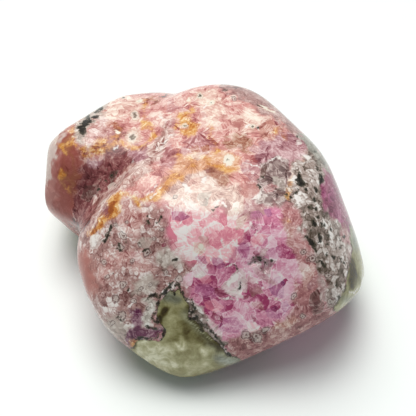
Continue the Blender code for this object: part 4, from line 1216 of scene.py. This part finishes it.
# Each broad crystal is painted lighter towards one side too: painted shade, as if it were a tilted facet.
painted_broad_shade = add("VectorMath", [broad_off, broad_way], operation="DOT_PRODUCT")
broad_tone = add("Math", [broad_pick.outputs[0], 1.34, -0.71], operation="MULTIPLY_ADD")
with_painted_broad_shade = add("Math", [painted_broad_shade, 0.24, broad_tone], operation="MULTIPLY_ADD")
broad_line = add("MapRange", [broad_edges, 0.008, 0.045, 0.85, 0.0], interpolation_type="SMOOTHSTEP")
broad_line_here = add("MapRange", [threads, 0.47, 0.56, 0.0, 0.85])
broad_shine = add("Math", [broad_line, broad_line_here], operation="MULTIPLY")
broad_plain = add("Math", [small_shade, 0.62, with_painted_broad_shade], operation="MULTIPLY_ADD")
broad_shade = add("Math", [broad_plain, broad_shine], operation="ADD")
crystal_shade = add("Mix", [broad, small_shade, broad_shade], data_type="FLOAT")
print("broad crystals of", BROAD, "mm")

# %% Shade of the lace
# Lace is a crust of small patches with dark threads between, strewn with little rings.
RUFFLE = 1.3
RUFFLE_REACH = 1.1
PATCH = 1.7
RING = 3.0
RINGLESS_SHARE = 0.62
ruffle = add("TexNoise", (), {"Vector": in_mm, "Scale": 1 / RUFFLE, "Detail": 1.0})
ruffled = shaken(bent, ruffle, RUFFLE_REACH)
patches = add("TexVoronoi", (), {"Vector": ruffled, "Scale": 1 / PATCH})
patch_edges = add("TexVoronoi", (), {"Vector": ruffled, "Scale": 1 / PATCH}, feature="DISTANCE_TO_EDGE")
patch_pick = add("SeparateColor", [patches.outputs["Color"]])
patch_tone = add("MapRange", [patch_pick.outputs[0], 0.0, 1.0, -0.45, 0.50])
thread_shade = add("MapRange", [threads, 0.34, 0.66, -0.42, 0.52])
patch_mask = add("MapRange", [threads, 0.44, 0.54, 0.0, 0.50])
patch_line = add("MapRange", [patch_edges, 0.02, 0.11, 1.0, 0.0], interpolation_type="SMOOTHSTEP")
patch_dark = add("Math", [patch_line, patch_mask], operation="MULTIPLY")
rings = add("TexVoronoi", (), {"Vector": bent, "Scale": 1 / RING, "Randomness": 0.9})
ring_pick = add("SeparateColor", [rings.outputs["Color"]])
ring_size = add("MapRange", [ring_pick.outputs[1], 0.0, 1.0, 0.20, 0.42])
ring_off = add("Math", [ragged, 0.08, rings.outputs["Distance"]], operation="MULTIPLY_ADD")
ring_share = add("Math", [ring_off, ring_size], operation="DIVIDE")
RING_STOPS = [(0.0, 0.05), (0.20, 0.12), (0.36, 0.80), (0.58, 0.78), (0.76, 0.18), (0.88, 0.25), (1.0, 0.5)]


def set_stops(ramp, stops):
    """Gives a colour ramp its stops, each a place on it and a linear colour."""
    elements = ramp.color_ramp.elements
    while len(elements) < len(stops):
        elements.new(0.5)
    for element, (at, linear) in zip(elements, stops):
        element.position, element.color = at, linear


ring_ramp = add("ValToRGB", [ring_share])
set_stops(ring_ramp, [(at, (grey, grey, grey, 1.0)) for at, grey in RING_STOPS])
ring_there = add("Math", [ring_pick.outputs[0], RINGLESS_SHARE], operation="GREATER_THAN")
ring_swing = add("MapRange", [ring_ramp.outputs["Color"], 0.0, 1.0, -0.55, 0.55])
ring_shade = add("Math", [ring_swing, ring_there], operation="MULTIPLY")
by_patch = add("Math", [patch_tone, thread_shade], operation="ADD")
lace_plain = add("Math", [by_patch, patch_dark], operation="SUBTRACT")
lace_shade = add("Math", [lace_plain, ring_shade], operation="ADD")
print("lace in patches of", PATCH, "mm with rings of", RING, "mm")

# %% Ground colour from the zones
lacy = add("Attribute", attribute_name="lacy")
lace_noise = add("MapRange", [clouds, 0.35, 0.65, -0.30, 0.30])
lace_weight = add("Math", [lacy.outputs["Fac"], lace_noise], operation="ADD", use_clamp=True)
shade = add("Mix", [lace_weight, crystal_shade, lace_shade], data_type="FLOAT")
grain = add("MapRange", [fine, *NOISE_SPAN, -0.14, 0.14])
grained = add("Math", [shade, grain], operation="ADD")
FROST = 0.5
frost = add("TexNoise", (), {"Vector": in_mm, "Scale": 1 / FROST, "Detail": 1.0})
frost_here = add("MapRange", [hush, 0.42, 0.60, 0.34, 0.0])
frost_point = add("MapRange", [frost, 0.58, 0.66, 0.0, 1.0])
frost_shine = add("Math", [frost_point, frost_here], operation="MULTIPLY")
frosted = add("Math", [grained, frost_shine], operation="ADD")
lift = add("Attribute", attribute_name="lift")
lively = add("MapRange", [fanned.outputs["Fac"], 0.0, 0.2, 0.42, 1.0])
quiet_shade = add("Math", [frosted, lively], operation="MULTIPLY")
full_shade = add("Math", [quiet_shade, lift.outputs["Fac"]], operation="ADD")
to_body = add("MapRange", [full_shade, -0.60, -0.02, 0.0, 1.0])
to_pale = add("MapRange", [full_shade, 0.02, 0.65, 0.0, 1.0])
to_white = add("MapRange", [full_shade, 0.72, 1.25, 0.0, 0.55])


def zone_tone(name):
    """The colour of a tone in the zone, or in the crystal where one is set."""
    in_zone = add("Attribute", attribute_name=name).outputs["Color"]
    in_crystal = add("Attribute", attribute_name="crystal_" + name).outputs["Color"]
    return add("Mix", [crystal_share, in_zone, in_crystal], data_type="RGBA")


dark_half = add("Mix", [to_body, zone_tone("deep"), zone_tone("body")], data_type="RGBA")
pale_half = add("Mix", [to_pale, dark_half, zone_tone("pale")], data_type="RGBA")
ground = add("Mix", [to_white, pale_half, colour("#FCF5F2")], data_type="RGBA")
print("frost in points of", FROST, "mm")

# %% Orange stain
orange_field = add("Attribute", attribute_name="orange")
stain_noise = add("MapRange", [clouds, *NOISE_SPAN, -0.9, 0.9])
stain_edge = add("Math", [orange_field.outputs["Fac"], stain_noise], operation="ADD")
stain_depth = add("Math", [ragged, 0.7, stain_edge], operation="MULTIPLY_ADD")
stain_share = add("MapRange", [stain_depth, -0.7, 0.8, 0.0, 0.92], interpolation_type="SMOOTHSTEP")
orange_ramp = add("ValToRGB", [add("MapRange", [full_shade, -0.6, 0.75, 0.0, 1.0])])
ORANGE_STOPS = [(0.0, "#A05220"), (0.3, "#CC7E34"), (0.55, "#DE9E52"), (0.8, "#F2C488"), (1.0, "#FCE8C4")]
set_stops(orange_ramp, [(at, colour(code)) for at, code in ORANGE_STOPS])
stained = add("Mix", [stain_share, ground, orange_ramp.outputs["Color"]], data_type="RGBA")
print("orange in", len(ORANGE_STOPS), "tones")

# %% Olive glass
olive_field = add("Attribute", attribute_name="olive")
olive_tone = add("Attribute", attribute_name="olive_tone")
olive_cool = add("Attribute", attribute_name="olive_cool")
VEIL = 3.2
veils = add("TexNoise", (),
            {"Vector": bent, "Scale": 1 / VEIL, "Detail": 4.0, "Roughness": 0.55, "Distortion": 1.2})
veil_swing = add("MapRange", [veils, *NOISE_SPAN, -0.15, 0.15])
olive_mottle = add("MapRange", [fine, *NOISE_SPAN, -0.07, 0.07])
olive_shade = add("Math", [olive_tone.outputs["Fac"], veil_swing], operation="ADD")
olive_full = add("Math", [olive_shade, olive_mottle], operation="ADD")
olive_ramp = add("ValToRGB", [olive_full])
cool_ramp = add("ValToRGB", [olive_full])
OLIVE_STOPS = [
    (0.0, "#38280F"), (0.22, "#594A22"), (0.45, "#857A48"), (0.65, "#A89E6E"), (0.85, "#CCC296"),
    (1.0, "#ECE4C4"),
]
COOL_STOPS = [
    (0.0, "#26241A"), (0.22, "#4A4838"), (0.45, "#74766A"), (0.65, "#98998C"), (0.85, "#BCBEB2"),
    (1.0, "#E2E2DA"),
]
set_stops(olive_ramp, [(at, colour(code)) for at, code in OLIVE_STOPS])
set_stops(cool_ramp, [(at, colour(code)) for at, code in COOL_STOPS])
warm_and_cool = [olive_cool.outputs["Fac"], olive_ramp.outputs["Color"], cool_ramp.outputs["Color"]]
olive_colour = add("Mix", warm_and_cool, data_type="RGBA")
olive_edge = add("Math", [ragged, 0.4, olive_field.outputs["Fac"]], operation="MULTIPLY_ADD")
olive_share = add("MapRange", [olive_edge, -0.15, 0.15, 0.0, 1.0], interpolation_type="SMOOTHSTEP")
glazed = add("Mix", [olive_share, stained, olive_colour], data_type="RGBA")
margin_off = add("Math", [olive_edge], operation="ABSOLUTE")
margin_line = add("MapRange", [margin_off, 0.06, 0.32, 0.75, 0.0], interpolation_type="SMOOTHSTEP")
margin_here = add("MapRange", [threads, 0.43, 0.53, 0.0, 1.0])
margin_share = add("Math", [margin_line, margin_here], operation="MULTIPLY")
with_olive = add("Mix", [margin_share, glazed, colour("#241C10")], data_type="RGBA")
print("olive glass with veils of", VEIL, "mm")

# %% White flashes
# The white field also holds a painted highlight on the shoulder.
white_field = add("Attribute", attribute_name="white")
white_edge = add("Math", [ragged, 0.6, white_field.outputs["Fac"]], operation="MULTIPLY_ADD")
white_share = add("MapRange", [white_edge, -0.2, 0.25, 0.0, 0.9], interpolation_type="SMOOTHSTEP")
with_white = add("Mix", [white_share, with_olive, colour("#F8EEEA")], data_type="RGBA")
print("white flashes lie over the ground, the orange and the olive")

# %% Eyes with rings
# each stop: the share of the eye's radius, the colour, and how much it covers
EYE_STOPS = {
    "bright_eyes": [(0.0, "#6E6456", 0.9), (0.16, "#7E7466", 0.9), (0.30, "#A89C8E", 0.8),
        (0.42, "#F0E4D8", 0.8), (0.62, "#F2E2D2", 0.7), (0.80, "#D0A68E", 0.5), (0.92, "#F0D8C4", 0.3),
        (1.0, "#F0D8C4", 0.0)],
    "pale_discs": [(0.0, "#8E8072", 1.0), (0.08, "#A89A8C", 1.0), (0.18, "#F4EADC", 1.0),
        (0.74, "#F6E8DA", 0.95), (0.86, "#E6C2A6", 0.6), (1.0, "#E6C2A6", 0.0)],
    "dark_eyes": [(0.0, "#4A3634", 0.8), (0.16, "#6A5450", 0.7), (0.3, "#D8C8C0", 0.75),
        (0.52, "#DCCCC4", 0.6), (0.66, "#5E3C3C", 0.75), (0.80, "#6A4646", 0.6), (0.9, "#E0D0C8", 0.4),
        (1.0, "#E0D0C8", 0.0)],
}
under = with_white
for name, stops in EYE_STOPS.items():
    share = add("Attribute", attribute_name=name)
    wobble = add("MapRange", [fine, *NOISE_SPAN, -0.24, 0.24])
    ratio = add("Math", [share.outputs["Fac"], wobble], operation="ADD", use_clamp=True)
    rings_ramp = add("ValToRGB", [ratio])
    set_stops(rings_ramp, [(at, colour(code)[:3] + [cover]) for at, code, cover in stops])
    under = add("Mix", [rings_ramp.outputs["Alpha"], under, rings_ramp.outputs["Color"]], data_type="RGBA")
print("kinds of eye:", ", ".join(EYE_STOPS))

# %% Black specks
# Manganese is black where it is thick and olive grey where it thins out over the calcite.
# The black field also holds painted shade, in the groove and in the cavity.
black_field = add("Attribute", attribute_name="black")
speckled = add("Attribute", attribute_name="speckled")
GRIT = 1.4
grit = add("TexNoise", (), {"Vector": bent, "Scale": 1 / GRIT, "Detail": 3.0, "Roughness": 0.65})
grit_swing = add("MapRange", [grit, *NOISE_SPAN, -0.42, 0.42])
black_fine = add("Math", [ragged, 0.5, grit_swing], operation="MULTIPLY_ADD")
black_edge = add("Math", [black_field.outputs["Fac"], black_fine], operation="ADD")
speck_limit = add("MapRange", [speckled.outputs["Fac"], 0.0, 1.0, 0.80, 0.575])
speck_over = add("Math", [grit, speck_limit], operation="SUBTRACT")
speck_depth = add("Math", [speck_over, 6.0], operation="MULTIPLY")
dark_depth = add("Math", [black_edge, speck_depth], operation="MAXIMUM")
dark_share = add("MapRange", [dark_depth, -0.16, 0.14, 0.0, 0.95], interpolation_type="SMOOTHSTEP")
dark_core = add("MapRange", [dark_depth, 0.0, 0.45, 0.0, 1.0])
dark_colour = add("Mix", [dark_core, colour("#585042"), colour("#14110A")], data_type="RGBA")
finished = add("Mix", [dark_share, under, dark_colour], data_type="RGBA")
print("grit of", GRIT, "mm")

# %% Gloss
# A lapidary's polish leaves calcite glossy but soft: it is only as hard as a coin, so blades take the polish
# differently and the reflection of a lamp breaks up a little over the grain.
CALCITE_IOR = 1.58
SMOOTHEST, ROUGHEST = 0.10, 0.22
RELIEF = 0.2 * MM
gloss = add("MapRange", [crystal_shade, -0.6, 0.8, SMOOTHEST, ROUGHEST])
relief = add("Bump", (), {"Height": full_shade, "Strength": 0.10, "Distance": RELIEF})
finish = {"Base Color": finished, "Roughness": gloss, "IOR": CALCITE_IOR, "Specular IOR Level": 0.25}
shader = add("BsdfPrincipled", (), finish | {"Normal": relief})
add("OutputMaterial", (), {"Surface": shader})
skin.materials.clear()
skin.materials.append(calcite)
print("nodes in the calcite:", len(calcite.node_tree.nodes))

# %% [markdown]
# ## Floor, sky and lamps
#
# The stone lies on a plain pale sheet. Two wide, soft lamps stand for a pale ceiling and a high window
# behind the stone, a little to its left, and the room itself adds a faint, cool glow all round.

# %% Floor
FLOOR_SIZE = 6.0
bpy.ops.object.select_all(action="DESELECT")
bpy.ops.mesh.primitive_plane_add(size=FLOOR_SIZE, location=(0.0, 0.0, 0.0))
floor = bpy.context.object
floor.name = "paper_floor"
paper = bpy.data.materials.new("matt_white_paper")
paper.use_nodes = True
paper_shader = paper.node_tree.nodes["Principled BSDF"]
paper_shader.inputs["Base Color"].default_value = colour("#F8FAFA")
paper_shader.inputs["Roughness"].default_value = 0.6
floor.data.materials.append(paper)
print("floor:", floor.name)

# %% Sky
# The camera sees a plain pale backdrop, and the stone is lit by a fainter glow.
ROOM_GLOW = 0.235
world = bpy.data.worlds.new("pale_room")
world.use_nodes = True
sky = world.node_tree
room_glow = sky.nodes["Background"]
room_glow.inputs["Color"].default_value = colour("#E4F8FC")
room_glow.inputs["Strength"].default_value = ROOM_GLOW
backdrop = sky.nodes.new("ShaderNodeBackground")
backdrop.inputs["Color"].default_value = colour("#F7F8F8")
backdrop.inputs["Strength"].default_value = 1.0
ray = sky.nodes.new("ShaderNodeLightPath")
choice = sky.nodes.new("ShaderNodeMixShader")
sky.links.new(ray.outputs["Is Camera Ray"], choice.inputs[0])
sky.links.new(room_glow.outputs[0], choice.inputs[1])
sky.links.new(backdrop.outputs[0], choice.inputs[2])
sky.links.new(choice.outputs[0], sky.nodes["World Output"].inputs["Surface"])
bpy.context.scene.world = world
print("room glow:", ROOM_GLOW)

# %% Lamps
LAMP_DISTANCE = 0.5
# name: where the light comes from, its width in degrees, strength and colour
LAMPS = {
    "ceiling": ((-0.06, 0.18, 0.98), 40, 1.39, "#FFFFFA"),
    "window": ((-0.20, 0.48, 0.85), 50, 1.63, "#FFFFFA"),
}
for name, (source, width, strength, code) in LAMPS.items():
    bpy.ops.object.light_add(type="SUN", location=Vector(source) * LAMP_DISTANCE)
    lamp = bpy.context.object
    lamp.name = name
    lamp.data.angle = math.radians(width)
    lamp.data.energy = strength
    lamp.data.color = colour(code)[:3]
    lamp.rotation_euler = Vector(source).to_track_quat("Z", "Y").to_euler()
bpy.context.scene.view_settings.view_transform = "Standard"
print("lamps:", ", ".join(LAMPS))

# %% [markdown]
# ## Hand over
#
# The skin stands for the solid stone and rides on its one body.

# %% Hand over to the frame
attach(stone, "root")
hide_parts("stone")
